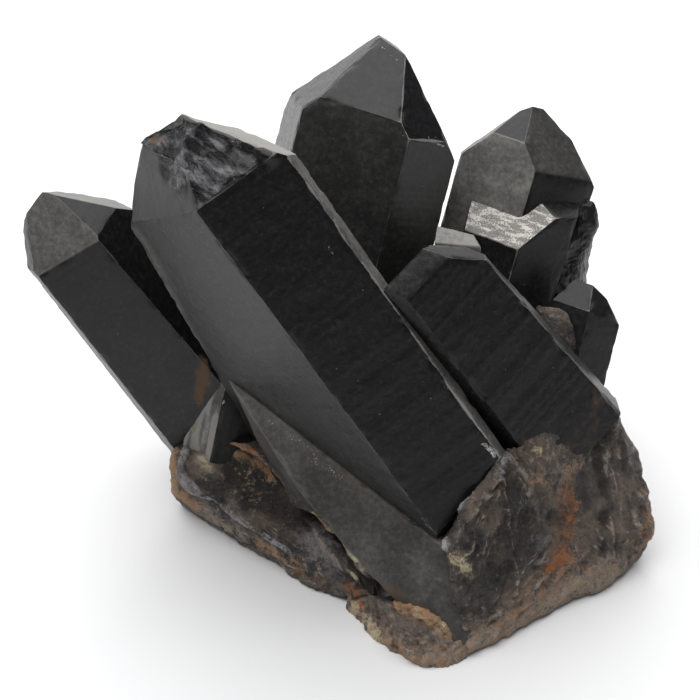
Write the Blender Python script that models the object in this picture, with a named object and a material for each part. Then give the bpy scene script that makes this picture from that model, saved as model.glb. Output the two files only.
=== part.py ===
"""Rough morion quartz cluster, in metres, Z up, resting on its flat broken underside.

Every crystal is a natural six-sided prism cut out of a block. Side faces stand 60 degrees apart,
and each has a point face above it whose normal rises 38.2 degrees from the side face's own.
A crystal is placed by a point on its axis, its lean from upright, the heading it leans to and its
spin, and then sized by the distance of every face from that point.
The root mass is a few broken lumps joined in one solid, with a socket for each crystal's foot.
"""
import math

import bmesh
import bpy
from mathutils import Vector, noise

MM = 0.001
OBJECT = "morion_quartz_cluster"

# Crystals: rise of a point face's normal in degrees, and the gap left around each in mm
POINT_RISE = 38.2
CLEARANCE = 0.3

# Block that a crystal is cut from, and what is cut off below the underside, in mm
BLOCK = 500.0
GROUND = 300.0

# Broken surface, in mm: longest edge, height and size of two noises, flat band at the bottom, fade above it
LUMP_EDGE = 6.0
LOW_HEIGHT = 1.3
LOW_SIZE = 14.0
FINE_HEIGHT = 0.5
FINE_SIZE = 5.0
FLAT_BAND = 0.2
FADE = 4.0

# Corners closer than this are one, in mm
MERGE = 0.02

# Colours and roughness
MORION = (0.02, 0.018, 0.016)
MORION_ROUGHNESS = 0.2
STAINED = (0.12, 0.08, 0.05)
STAINED_ROUGHNESS = 0.8

# Crystals: lengths in mm, angles in degrees, faces in order around the axis from the front
CRYSTALS = {
    "main_crystal": {
        "at": (-12.0, -5.0, 70.0), "lean": 35.0, "heading": 162.5, "spin": 19.5, "taper": 0.0,
        "sides": (13.5, 25.25, 15.0, 13.0, 29.0, 8.5),
        "points": (36.25, 46.0, 38.5, 46.0, 42.75, 32.25),
        "foot": 62.0,
        "chips": ((-35.0, 47.0, 38.5), (36.0, -43.0, 49.0)),
    },
    "left_crystal": {
        "at": (-64.0, 27.0, 58.5), "lean": 31.0, "heading": 179.5, "spin": 5.5, "taper": 3.0,
        "sides": (14.0, 19.25, 19.0, 12.0, 3.5, 11.5),
        "points": (21.5, 26.0, 23.0, 20.5, 17.5, 20.0),
        "foot": 50.0,
        "chips": ((-137.0, 49.0, 20.4),),
    },
    "rear_center_crystal": {
        "at": (5.0, 42.5, 78.5), "lean": 23.5, "heading": 53.0, "spin": -25.0, "taper": 1.0,
        "sides": (17.75, 19.0, 16.5, 14.0, 27.0, 23.5),
        "points": (27.5, 26.5, 21.75, 24.0, 28.75, 29.5),
        "foot": 45.0,
        "chips": ((91.0, 70.0, 34.0),),
    },
    "right_crystal": {
        "at": (31.5, 0.0, 60.0), "lean": 33.5, "heading": -177.5, "spin": 34.5, "taper": 4.0,
        "sides": (10.5, 16.5, 9.75, 8.0, 10.0, 13.5),
        "points": (25.5, 25.75, 22.75, 17.75, 30.0, 34.0),
        "foot": 36.0,
        "chips": (),
    },
    "rear_right_crystal": {
        "at": (43.0, 39.0, 77.5), "lean": 26.5, "heading": 56.0, "spin": -40.0, "taper": 0.0,
        "sides": (2.5, 4.0, 17.0, 18.0, 18.0, 17.25),
        "points": (11.0, 8.75, 18.0, 20.0, 20.0, 17.75),
        "foot": 40.0,
        "chips": (),
    },
    "far_right_crystal": {
        "at": (60.0, 9.5, 52.5), "lean": 25.5, "heading": 62.0, "spin": -38.0, "taper": 0.0,
        "sides": (2.75, 0.0, 6.0, 9.0, 9.0, 12.0),
        "points": (8.25, 6.0, 9.0, 11.0, 18.0, 20.0),
        "foot": 28.0,
        "chips": (),
    },
    "lower_left_crystal": {
        "at": (-34.5, 12.0, 27.5), "lean": 25.5, "heading": 60.0, "spin": -38.5, "taper": 0.0,
        "sides": (3.75, 4.25, 17.0, 9.0, 6.0, 7.5),
        "points": (12.0, 12.0, 16.0, 12.0, 12.0, 12.0),
        "foot": 15.0,
        "chips": (),
    },
}

# The thicker crystal grown parallel to the rear right one, with its bright shoulder
SHOULDER = {
    "at": (43.0, 39.0, 77.5), "lean": 26.5, "heading": 56.0, "spin": -40.0, "taper": 0.0,
    "sides": (7.75, 10.0, 15.25, 16.0, 14.0, 11.5),
    "points": (-0.25, 12.0, 18.0, 20.0, 20.0, 17.75),
    "foot": 40.0,
    "chips": ((-5.5, 65.0, 2.0),),
}

# Neighbours whose growth cut a crystal short where the two meet
CUT_BY = {
    "lower_left_crystal": ("main_crystal", "rear_center_crystal"),
    "left_crystal": ("main_crystal", "lower_left_crystal", "rear_center_crystal"),
    "right_crystal": ("main_crystal",),
    "far_right_crystal": ("right_crystal",),
    "rear_right_crystal": ("right_crystal", "rear_center_crystal"),
    "rear_center_crystal": ("main_crystal",),
}

# Corners of the broken root lumps, in mm
LUMPS = {
    "core": (
        (-38, 20, -2), (-14, -10, -2), (8, -27, -2), (40, -30, -2), (66, -12, -2), (70, 12, -2),
        (60, 38, -2), (30, 56, -2), (-8, 60, -2), (-40, 42, -2), (-48, 24, 13), (-20, 16, 25),
        (-47, 42, 28), (-14, 62, 48), (30, 62, 42), (58, 48, 52), (62, 36, 58), (66, 24, 46),
        (62, 4, 44), (44, -6, 36), (12, 4, 34), (-12, 14, 38), (-10, 35, 44), (20, 45, 50), (45, 35, 52),
    ),
    "wedge": (
        (-31, 7, 46), (25, -28, 15), (22, -42, 3), (8, -26, 4), (-13, -4, 14), (-22, 5, 24),
        (30, 5, 5), (-10, 20, 5), (-16, 20, 36), (25, -5, 20),
    ),
    "broken_end": (
        (22, -30, 24), (37, -15, 37), (42, -12, 38), (64, 2, 44), (74, 2, 26), (78, -9, 12),
        (75, -12, -2), (63, -23, -2), (44, -37, -2), (29, -47, -2), (22, -45, -2), (12, -44, -2),
        (4, -34, -2), (6, -30, 5), (45, 15, 10), (60, 20, 30), (20, -10, 2),
    ),
    "rim": (
        (-47, 8, 20), (-48, 7, 8), (-39, 4, 1), (-13, -18, -2), (-1, -28, -2), (9, -39, -2),
        (14, -42, -2), (16, -36, 5), (-42, 2, 14), (-36, 6, 20), (-22, 5, 22), (-13, -4, 12),
        (8, -26, 4), (-35, 40, 5), (-35, 40, 24), (0, 10, 2),
    ),
    "shard": (
        (46, 13, 64), (53, 13, 62), (58, 9, 52), (49, 9, 61), (46, 4, 42), (60, 9, 40),
        (50, 24, 42), (58, 22, 42),
    ),
}


def clear_scene():
    """Remove everything the file starts with."""
    for thing in list(bpy.data.objects):
        bpy.data.objects.remove(thing)
    for old in list(bpy.data.collections):
        bpy.data.collections.remove(old)


def new_collection(name):
    group = bpy.data.collections.new(name)
    bpy.context.scene.collection.children.link(group)
    return group


def directions(spec):
    """The crystal's axis, and the two radial directions that its faces are turned from."""
    lean = math.radians(spec["lean"])
    heading = math.radians(spec["heading"])
    axis = Vector((math.sin(lean) * math.cos(heading), math.sin(lean) * math.sin(heading), math.cos(lean)))
    front = Vector((0.0, -1.0, 0.0))
    front = (front - axis * front.dot(axis)).normalized()
    return axis, front, axis.cross(front)


def crystal_faces(spec):
    """Normal and distance of every face of a crystal."""
    axis, front, right = directions(spec)

    def tilted(turn, rise):
        turn = math.radians(turn)
        rise = math.radians(rise)
        radial = front * math.cos(turn) + right * math.sin(turn)
        return radial * math.cos(rise) + axis * math.sin(rise)

    faces = []
    for number in range(6):
        turn = spec["spin"] + 60.0 * number
        faces.append((tilted(turn, spec["taper"]), spec["sides"][number]))
        faces.append((tilted(turn, POINT_RISE), spec["points"][number]))
    for turn, rise, distance in spec["chips"]:
        faces.append((tilted(turn, rise), distance))
    faces.append((-axis, spec["foot"]))
    return faces


def link_mesh(bm, name, collection):
    mesh = bpy.data.meshes.new(name)
    bmesh.ops.recalc_face_normals(bm, faces=bm.faces[:])
    bm.to_mesh(mesh)
    bm.free()
    thing = bpy.data.objects.new(name, mesh)
    collection.objects.link(thing)
    return thing


def make_crystal(name, spec, collection, grow=0.0):
    """Cut a block down to the crystal, one face at a time."""
    centre = Vector(spec["at"]) * MM
    bm = bmesh.new()
    bmesh.ops.create_cube(bm, size=BLOCK * MM)
    bmesh.ops.translate(bm, verts=bm.verts[:], vec=centre)
    for normal, distance in crystal_faces(spec):
        geometry = bm.verts[:] + bm.edges[:] + bm.faces[:]
        place = centre + normal * (distance + grow) * MM
        cut = bmesh.ops.bisect_plane(bm, geom=geometry, plane_co=place, plane_no=normal, clear_outer=True)
        rim = [part for part in cut["geom_cut"] if isinstance(part, bmesh.types.BMEdge)]
        if rim:
            bmesh.ops.edgeloop_fill(bm, edges=rim)
    bmesh.ops.remove_doubles(bm, verts=bm.verts[:], dist=MERGE * MM)
    return link_mesh(bm, name, collection)


def roughen(thing):
    """Divide the broken surface and push it in and out by two sizes of noise, all but its flat underside."""
    bm = bmesh.new()
    bm.from_mesh(thing.data)
    for _ in range(6):
        long_edges = [edge for edge in bm.edges if edge.calc_length() > LUMP_EDGE * MM]
        if not long_edges:
            break
        bmesh.ops.subdivide_edges(bm, edges=long_edges, cuts=1)
        bmesh.ops.triangulate(bm, faces=bm.faces[:])
    bm.normal_update()
    for vert in bm.verts:
        place = vert.co / MM
        if place.z < FLAT_BAND:
            continue
        low = LOW_HEIGHT * noise.noise(place / LOW_SIZE + Vector((3.1, 7.7, 1.3)))
        fine = FINE_HEIGHT * noise.noise(place / FINE_SIZE + Vector((9.4, 2.6, 5.8)))
        vert.co += vert.normal * (low + fine) * min(1.0, place.z / FADE) * MM
    bm.to_mesh(thing.data)
    bm.free()


def make_lump(name, corners, collection):
    """A broken lump: the hull of its corners."""
    bm = bmesh.new()
    for corner in corners:
        bm.verts.new(Vector(corner) * MM)
    hull = bmesh.ops.convex_hull(bm, input=bm.verts[:])
    spare = set(hull["geom_interior"] + hull["geom_unused"])
    inner = [part for part in spare if isinstance(part, bmesh.types.BMVert)]
    bmesh.ops.delete(bm, geom=inner, context="VERTS")
    return link_mesh(bm, name, collection)


def add_boolean(thing, cutter, operation):
    modifier = thing.modifiers.new(cutter.name, "BOOLEAN")
    modifier.operation = operation
    modifier.solver = "EXACT"
    modifier.object = cutter


def settle(thing):
    """Turn the modifiers' result into the object's own mesh, keeping only its largest piece."""
    graph = bpy.context.evaluated_depsgraph_get()
    made = bpy.data.meshes.new_from_object(thing.evaluated_get(graph))
    thing.modifiers.clear()
    bm = bmesh.new()
    bm.from_mesh(made)
    bpy.data.meshes.remove(made)
    bmesh.ops.remove_doubles(bm, verts=bm.verts[:], dist=MERGE * MM)
    bmesh.ops.dissolve_degenerate(bm, edges=bm.edges[:], dist=MERGE * MM)
    left = set(bm.verts)
    pieces = []
    while left:
        stack = [left.pop()]
        piece = set(stack)
        while stack:
            for edge in stack.pop().link_edges:
                for vert in edge.verts:
                    if vert in left:
                        left.remove(vert)
                        piece.add(vert)
                        stack.append(vert)
        pieces.append(piece)
    pieces.sort(key=len)
    for piece in pieces[:-1]:
        bmesh.ops.delete(bm, geom=list(piece), context="VERTS")
    bmesh.ops.triangulate(bm, faces=bm.faces[:])
    bmesh.ops.recalc_face_normals(bm, faces=bm.faces[:])
    bm.to_mesh(thing.data)
    bm.free()
    thing.data.update()


def give_material(thing, colour, roughness):
    material = bpy.data.materials.new(thing.name)
    material.use_nodes = True
    shader = material.node_tree.nodes["Principled BSDF"]
    shader.inputs["Base Color"].default_value = (*colour, 1.0)
    shader.inputs["Roughness"].default_value = roughness
    thing.data.materials.clear()
    thing.data.materials.append(material)


def main():
    clear_scene()
    parts = new_collection(OBJECT)
    cutters = new_collection("cutters")

    # Crystals, and a slightly larger copy of each to cut its neighbours and its socket with
    crystals = {}
    sockets = {}
    for name, spec in CRYSTALS.items():
        crystals[name] = make_crystal(name, spec, parts)
        sockets[name] = make_crystal(name + "_socket", spec, cutters, CLEARANCE)
    shoulder = make_crystal("shoulder", SHOULDER, cutters)
    shoulder_socket = make_crystal("shoulder_socket", SHOULDER, cutters, CLEARANCE)
    add_boolean(crystals["rear_right_crystal"], shoulder, "UNION")
    for name, neighbours in CUT_BY.items():
        for neighbour in neighbours:
            add_boolean(crystals[name], sockets[neighbour], "DIFFERENCE")

    # Root mass
    lumps = {}
    for name, corners in LUMPS.items():
        lumps[name] = make_lump(name, corners, cutters)
    base = bpy.data.objects.new("base_matrix", lumps["core"].data.copy())
    parts.objects.link(base)
    for name in ("wedge", "broken_end", "rim", "shard"):
        add_boolean(base, lumps[name], "UNION")
    bm = bmesh.new()
    bmesh.ops.create_cube(bm, size=GROUND * MM)
    bmesh.ops.translate(bm, verts=bm.verts[:], vec=Vector((0.0, 0.0, -GROUND / 2)) * MM)
    ground = link_mesh(bm, "ground", cutters)
    add_boolean(base, ground, "DIFFERENCE")
    settle(base)
    roughen(base)
    for name in sockets:
        add_boolean(base, sockets[name], "DIFFERENCE")
    add_boolean(base, shoulder_socket, "DIFFERENCE")

    for thing in parts.objects:
        settle(thing)
    for thing in cutters.objects:
        thing.hide_render = True
        thing.display_type = "WIRE"

    # Put the bottom centre of the whole on the origin
    corners = [vert.co for thing in parts.objects for vert in thing.data.vertices]
    low = Vector([min(corner[axis] for corner in corners) for axis in range(3)])
    high = Vector([max(corner[axis] for corner in corners) for axis in range(3)])
    shift = Vector((-(low.x + high.x) / 2, -(low.y + high.y) / 2, -low.z))
    for thing in list(parts.objects) + list(cutters.objects):
        for vert in thing.data.vertices:
            vert.co += shift
        thing.data.update()

    for thing in crystals.values():
        give_material(thing, MORION, MORION_ROUGHNESS)
    give_material(base, STAINED, STAINED_ROUGHNESS)


main()
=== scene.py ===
"""Looks of a rough morion quartz cluster: crystals, broken root and stage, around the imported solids.

Every crystal and lump is a surface worked out on a grid of two parameters. Its sizes are in mm, and its mesh
is in metres.
"""

import itertools
import math

import bmesh
import bpy
import numpy as np
from mathutils import Matrix, Vector


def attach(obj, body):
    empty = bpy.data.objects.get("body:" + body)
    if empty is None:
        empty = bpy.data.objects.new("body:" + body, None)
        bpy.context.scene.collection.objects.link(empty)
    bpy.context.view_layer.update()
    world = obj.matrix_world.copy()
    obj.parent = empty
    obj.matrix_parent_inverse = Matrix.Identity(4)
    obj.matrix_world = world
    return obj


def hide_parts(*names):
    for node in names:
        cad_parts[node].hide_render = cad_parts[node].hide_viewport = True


bl_info = {
    "name": "Morion quartz cluster",
    "version": (1, 0, 0),
    "blender": (4, 5, 0),
    "location": "View3D > Sidebar > Morion",
    "description": "Makes a rough cluster of smoky black quartz crystals on a broken, stained root",
    "category": "Add Mesh",
}

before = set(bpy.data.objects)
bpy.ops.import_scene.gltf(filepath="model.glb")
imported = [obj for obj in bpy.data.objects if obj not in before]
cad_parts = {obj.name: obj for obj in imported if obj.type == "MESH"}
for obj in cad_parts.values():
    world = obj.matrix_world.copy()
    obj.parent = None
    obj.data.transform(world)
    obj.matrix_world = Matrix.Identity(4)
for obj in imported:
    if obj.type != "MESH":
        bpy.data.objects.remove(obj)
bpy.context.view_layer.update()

MM = 0.001

# Points of a mesh closer than this are merged, in mm
MERGE = 0.004

# Place in the frame of the point that crystals and lumps are measured from, in mm
SHIFT = np.array((1.094, -10.909, 0.0))

# Rise of the normal of a crystal's point faces, in degrees
POINT_RISE = 38.2

# Crystals: lengths in mm and angles in degrees, sides and points in order around the axis from the front.
# Chips are further planes, each (turn, rise, distance)
CRYSTALS = {
    "main_crystal": {
        "at": (-12.0, -5.0, 70.0), "lean": 35.0, "heading": 162.5, "spin": 19.5, "taper": 0.0,
        "sides": (13.5, 25.25, 15.0, 60.0, 60.0, 8.5),
        "points": (36.25, 46.0, 46.0, 52.0, 52.0, 32.25),
        "foot": 62.0,
        "chips": (
            (-36.0, 45.5, 36.98), (36.0, -43.0, 49.0), (104.5, 40.1, 42.71), (142.0, 8.8, 21.16),
            (152.6, 37.1, 38.65), (-94.5, 12.7, 31.21), (199.5, 13.6, 24.65), (-86.0, 40.0, 42.28),
            (-104.4, -55.0, 67.00),
        ),
    },
    "left_crystal": {
        "at": (-64.0, 27.0, 58.5), "lean": 31.0, "heading": 179.5, "spin": 5.5, "taper": 3.0,
        "sides": (14.0, 19.25, 19.0, 12.0, 3.5, 11.5),
        "points": (21.5, 26.0, 23.0, 20.5, 17.5, 20.0),
        "foot": 50.0,
        "chips": ((-137.0, 49.0, 20.4),),
    },
    "rear_center_crystal": {
        "at": (5.0, 42.5, 78.5), "lean": 23.5, "heading": 53.0, "spin": -25.0, "taper": 1.0,
        "sides": (17.75, 19.0, 16.5, 14.0, 27.0, 23.5),
        "points": (27.5, 26.5, 21.75, 24.0, 28.75, 29.5),
        "foot": 45.0,
        "chips": ((91.0, 70.0, 34.0),),
    },
    "right_crystal": {
        "at": (31.5, 0.0, 60.0), "lean": 33.5, "heading": -177.5, "spin": 34.5, "taper": 4.0,
        "sides": (10.5, 16.5, 9.75, 8.0, 10.0, 13.5),
        "points": (25.5, 25.75, 22.75, 17.75, 30.0, 34.0),
        "foot": 36.0,
        "chips": (),
    },
    "rear_right_crystal": {
        "at": (43.0, 39.0, 77.5), "lean": 26.5, "heading": 56.0, "spin": -40.0, "taper": 0.0,
        "sides": (2.5, 4.0, 17.0, 18.0, 18.0, 17.25),
        "points": (11.0, 8.75, 18.0, 20.0, 20.0, 17.75),
        "foot": 40.0,
        "chips": (),
    },
    "stepped_crystal": {
        "at": (43.0, 39.0, 77.5), "lean": 26.5, "heading": 56.0, "spin": -40.0, "taper": 0.0,
        "sides": (7.75, 10.0, 15.25, 16.0, 14.0, 11.5),
        "points": (-0.25, 12.0, 18.0, 20.0, 20.0, 17.75),
        "foot": 40.0,
        "chips": ((-5.5, 65.0, 2.0),),
    },
    "far_right_crystal": {
        "at": (60.0, 9.5, 52.5), "lean": 25.5, "heading": 62.0, "spin": -38.0, "taper": 0.0,
        "sides": (2.75, 0.0, 6.0, 9.0, 9.0, 12.0),
        "points": (8.25, 6.0, 9.0, 11.0, 18.0, 20.0),
        "foot": 28.0,
        "chips": (),
    },
    "lower_left_crystal": {
        "at": (-34.5, 12.0, 27.5), "lean": 25.5, "heading": 60.0, "spin": -38.5, "taper": 0.0,
        "sides": (3.75, 4.25, 17.0, 9.0, 6.0, 7.5),
        "points": (12.0, 12.0, 16.0, 12.0, 12.0, 12.0),
        "foot": 15.0,
        "chips": (),
    },
}

# Solids that the pieces stand for, where the names differ
STANDS_FOR = {"stepped_crystal": "rear_right_crystal"}

# Broken root lumps: each hull's corners in mm, the rows and columns of its grid, and how rough it is
LUMPS = {
    "root_core": {
        "grid": (180, 280), "seed": 201, "rough": 1.2,
        "corners": (
            (-38, 20, 0), (-14, -10, 0), (8, -27, 0), (40, -30, 0), (66, -12, 0), (70, 12, 0),
            (60, 38, 0), (30, 56, 0), (-8, 60, 0), (-40, 42, 0), (-48, 24, 13), (-20, 16, 25),
            (-47, 42, 28), (-14, 62, 48), (30, 62, 42), (58, 48, 52), (62, 36, 58), (66, 24, 46),
            (62, 4, 44), (44, -6, 36), (12, 4, 34), (-12, 14, 38), (-10, 35, 44), (20, 45, 50),
            (45, 35, 52),
        ),
    },
    "root_broken_end": {
        "grid": (270, 365), "seed": 251, "rough": 1.0,
        "corners": (
            (23.5, -31.2, 28), (30, -25.5, 37), (37.5, -18, 43), (44, -13, 38.5), (49, -12, 38),
            (64, 2, 44), (74, 2, 26), (78, -9, 12), (74.5, -12.5, 0), (65, -21.3, 0), (44.5, -34.2, 0),
            (28.0, -45.2, 0), (28.4, -34.0, 19.0), (28.6, -44.4, 3.2), (22, -32, 0), (20, -28, 6),
            (45, 15, 10), (60, 20, 30), (20, -10, 2),
        ),
    },
    "root_toe": {
        "grid": (130, 210), "seed": 311, "rough": 1.0,
        "corners": (
            (-1.5, -27.5, 0), (3.4, -34.2, 0), (7, -38, 0), (10, -40.8, 0), (12.5, -44.2, 0),
            (18.1, -47, 0), (24.7, -47, 0), (29.5, -44.2, 0), (-1.0, -26.5, 5.0), (2.0, -29.0, 8.5),
            (6.5, -34, 9.5), (12, -41, 9.2), (20, -45, 7.6), (28.5, -43.6, 3.6), (31, -42.6, 0),
            (30, -30, 0), (5, -25, 2),
        ),
    },
    "root_rim": {
        "grid": (240, 370), "seed": 277, "rough": 0.8,
        "corners": (
            (-47, 8, 20), (-48, 7, 8), (-46.5, 9.5, 1), (-39.5, 6.5, 0), (-33, 2.2, 0), (-27.3, -3.6, 0),
            (-20.5, -8.6, 0), (-12.5, -16.2, 0), (-8.7, -21.8, 0), (-5.4, -24.2, 0), (-2.3, -25.8, 1.5),
            (3, -30.5, 3.5), (7, -31.5, 6), (-42, 2, 14), (-36, 6, 20), (-22, 5, 22), (-13, -4, 12),
            (8, -26, 4), (-35, 40, 5), (-35, 40, 24), (0, 10, 2),
        ),
    },
    "root_crust": {
        "grid": (90, 140), "seed": 367, "rough": 1.1, "marks": {"pale": 0.85, "clay": 0.3, "rust": 0.4},
        "corners": (
            (10.5, -34.0, 9.3), (14.0, -37.4, 10.8), (18.5, -39.4, 10.2), (23.0, -41.7, 7.6),
            (24.5, -43.0, 4.0), (18.5, -43.4, 3.0), (12.0, -41.6, 3.6), (8.6, -37.0, 6.6),
            (18.0, -34.0, 7.0), (12.0, -32.0, 6.0), (22.0, -37.0, 5.0),
        ),
    },
    "root_flank": {
        "grid": (110, 170), "seed": 353, "rough": 0.7, "film": 0.04,
        "corners": (
            (60.4, 42, 77.0), (62.9, 41, 75.6), (63.2, 40.5, 72.0), (62.0, 40, 66.0), (61.0, 40, 60),
            (61.5, 39, 49), (60, 34, 40), (52, 41, 73), (50, 30, 60), (50, 34, 44), (56, 48, 70),
            (54, 50, 50), (57, 29, 46),
        ),
    },
    "root_facet": {
        "grid": (90, 140), "seed": 359, "rough": 0.08, "roundness": 260.0, "film": 1.1,
        "corners": (
            (21.2, 18.9, 83.4), (30.1, 18.4, 81.0), (31.5, 14.2, 80.4), (20.4, 13.9, 81.8), (21, 24, 60),
            (32, 24, 60), (32, 14, 60), (22, 14, 60),
        ),
    },
    "root_shard": {
        "grid": (70, 110), "seed": 293, "rough": 0.6,
        "corners": (
            (46, 13, 64), (53, 13, 62), (58, 9, 52), (49, 9, 61), (46, 4, 42), (60, 9, 40),
            (50, 24, 42), (58, 22, 42),
        ),
    },
}

# Ropes of crust and glass along the root's ledges: points in mm from the frame's origin, with radii
ROPES = {
    "root_ridge": {
        "grid": (330, 60), "seed": 331, "rough": 0.75,
        "path": (
            (-31.5, -2.5, 23.2), (-26.4, -4.8, 23.2), (-22.4, -7.4, 22.0), (-16.4, -13.2, 19.6),
            (-8.6, -22.2, 17.0), (-3.4, -28.8, 16.8), (1.0, -32.1, 16.6), (4.0, -35.4, 15.4),
            (5.2, -36.6, 11.6), (7.0, -38.4, 7.6), (9.0, -41.5, 5.0),
        ),
        "radii": (0.7, 1.6, 1.7, 1.3, 1.5, 1.2, 1.3, 2.1, 1.8, 1.4, 0.9),
        "marks": {"light": 0.55},
    },
    "root_lip": {
        "grid": (320, 48), "seed": 347, "rough": 0.5,
        "path": (
            (-40.8, -3.4, 23.0), (-43.4, -6.9, 16.9), (-40.6, -11.0, 15.2), (-34.4, -14.7, 14.6),
            (-26.4, -20.4, 12.1), (-18.4, -25.8, 10.2), (-12.0, -30.4, 9.0),
        ),
        "radii": (0.9, 1.0, 1.15, 0.7, 0.85, 0.45, 0.15),
        "marks": {"lip": 0.55},
    },
}

# Smooth body grown along the thickest crystal, by its hull's corners in mm
WEDGE = {
    "grid": (200, 300), "seed": 401, "roundness": 120.0,
    "corners": (
        (-31, 7, 46), (25.2, -31.5, 22), (28.3, -33.5, 18.8), (29.8, -43.2, 3.6), (22, -47, 0),
        (12.5, -43, 1.5), (8.6, -32.4, 6.8), (-8.9, -11, 16.3), (-22.8, 4.8, 22.5), (30, 5, 5),
        (-10, 20, 5), (-16, 20, 36), (25, -5, 20),
    ),
}

# Roundness of a lump's edges, higher for sharper ones, where a lump gives none
ROUNDNESS = 30.0

# Edges are shaded sharp where their faces turn by more than this, in degrees
CRYSTAL_SHARP = 28.0
LUMP_SHARP = 60.0
WEDGE_SHARP = 40.0

# Angle left open at a lump's two poles, in radians, before they are closed by a fan
POLE_GAP = 0.012

# A rope's path is eased over one part in this many of its rows, to each side
ROPE_EASE = 22

# How far pieces near the floor are drawn down, and up to which height, in mm
FLOOR_DROP = 0.9
FLOOR_REACH = 3.0

# How closely a face's points crowd towards its edges, from 0 to 1
EDGE_CROWD = 0.7

# Farther than any piece reaches, in mm
FAR = 1e3

# How far inside a hull the normals of its faces blend, and how far under its top a crystal ends, in mm
BLEND_REACH = 0.35
TIP_GAP = 0.01


# Noise on a lattice

# Factors and shifts that mix the whole numbers of a cell and a seed into one value
CELL_FACTORS = (374761393, 668265263, 2246822519)
SEED_FACTOR = 7919
SEED_START = 17
MIX_STEPS = ((13, 1274126177), (16, 2654435761))
LAST_SHIFT = 15
HALF_RANGE = 2147483648.0


def lattice(cell, seed):
    """A fixed value from -1 to 1 for each whole-number cell, from its mixed bits."""
    whole = cell.astype(np.int64).astype(np.uint32)
    mixed = sum(whole[..., axis] * np.uint32(factor) for axis, factor in enumerate(CELL_FACTORS))
    mixed = mixed + np.uint32(seed * SEED_FACTOR + SEED_START)
    for shift, factor in MIX_STEPS:
        mixed = (mixed ^ (mixed >> np.uint32(shift))) * np.uint32(factor)
    mixed = mixed ^ (mixed >> np.uint32(LAST_SHIFT))
    return mixed.astype(np.float64) / HALF_RANGE - 1.0


def noise(points, size, seed):
    """Value noise: the values at a cell's eight corners, blended by 6f^5 - 15f^4 + 10f^3 along each axis."""
    place = points / size
    cell = np.floor(place)
    part = place - cell
    blend = part * part * part * (part * (part * 6.0 - 15.0) + 10.0)
    total = np.zeros(points.shape[:-1])
    for corner in itertools.product((0, 1), repeat=3):
        step = np.array(corner, dtype=float)
        weight = np.prod(np.where(step > 0.5, blend, 1.0 - blend), axis=-1)
        total += weight * lattice(cell + step, seed)
    return total


def layered(points, size, seed, octaves, gap, shape):
    """A shape of the noise at halving sizes and heights, scaled back to the shape's own range."""
    heights = 0.5 ** np.arange(octaves)
    layers = (noise(points, size * height, seed + octave * gap) for octave, height in enumerate(heights))
    return sum(height * shape(layer) for height, layer in zip(heights, layers)) / heights.sum()


def fractal(points, size, seed, octaves):
    """Noise at halving sizes, from about -1 to 1."""
    return layered(points, size, seed, octaves, 13, lambda value: value)


def ridged(points, size, seed, octaves):
    """Sharp ridges: 1 - 2 |noise| at halving sizes."""
    return layered(points, size, seed, octaves, 29, lambda value: 1.0 - 2.0 * np.abs(value))


def smooth(low, high, value):
    """0 below low, 1 above high, and 3f^2 - 2f^3 between."""
    part = np.clip((value - low) / (high - low), 0.0, 1.0)
    return part * part * (3.0 - 2.0 * part)


def stroke(points, path, radius):
    """1 along a path of straight runs, falling off as exp(-(distance / radius)^2)."""
    path = np.array(path, dtype=float).reshape(-1, 3)
    nearest = ((points - path[0]) ** 2).sum(axis=-1)
    for first, last in zip(path[:-1], path[1:]):
        run = last - first
        part = np.clip(((points - first) @ run) / (run @ run), 0.0, 1.0)
        away = points - first - part[..., None] * run
        nearest = np.minimum(nearest, (away * away).sum(axis=-1))
    return np.exp(-nearest / (radius * radius))


def strokes(points, paths):
    """The strongest of several strokes, each (path, radius, amount)."""
    total = np.zeros(points.shape[:-1])
    for path, radius, amount in paths:
        total = np.maximum(total, amount * stroke(points, path, radius))
    return total


def scoops(points, size, seed):
    """Scooped breaks with sharp ridges: the lowest of tilted bowls, o + g.(p - c) + |p - c|^2 in cell sizes,
    over the scattered centres c of the cells around each point."""
    place = points / size
    cell = np.floor(place)
    lowest = np.full(points.shape[:-1], 1e9)
    for step in itertools.product((-1.0, 0.0, 1.0), repeat=3):
        corner = cell + np.array(step)
        centre = np.stack([lattice(corner, seed + number) for number in range(3)], axis=-1) * 0.42 + 0.5
        tilt = np.stack([lattice(corner, seed + 3 + number) for number in range(3)], axis=-1) * 0.6
        away = place - corner - centre
        bowl = 0.3 * lattice(corner, seed + 6) + ((tilt + away) * away).sum(axis=-1)
        lowest = np.minimum(lowest, bowl)
    return lowest


def frayed(points, reach, size, seed, gap, octaves):
    """The points pushed by reach times a fractal for each axis, so that strokes on them have ragged rims."""
    push = np.stack([fractal(points, size, seed + number * gap, octaves) for number in range(3)], axis=-1)
    return points + reach * push


def stretched(points, direction, factor):
    """The points squeezed along a direction, so that noise on them is drawn out along it."""
    way = np.array(direction) / np.linalg.norm(direction)
    return points - way * ((points @ way) * (1.0 - 1.0 / factor))[..., None]


# Meshes from grids


def grid_faces(rows, columns):
    """Quads of a grid that closes around its columns, then fans over its first and last rows."""
    row, column = np.meshgrid(np.arange(rows - 1), np.arange(columns), indexing="ij")
    after = (column + 1) % columns
    first = row * columns
    second = first + columns
    corners = (first + column, first + after, second + after, second + column)
    quads = np.stack(corners, axis=-1).reshape(-1, 4)
    around = np.arange(columns)
    beside = (around + 1) % columns
    foot = np.stack((np.full(columns, rows * columns), beside, around), axis=-1)
    last = (rows - 1) * columns
    tip = np.stack((np.full(columns, rows * columns + 1), last + around, last + beside), axis=-1)
    return quads, np.concatenate((foot, tip))


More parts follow.
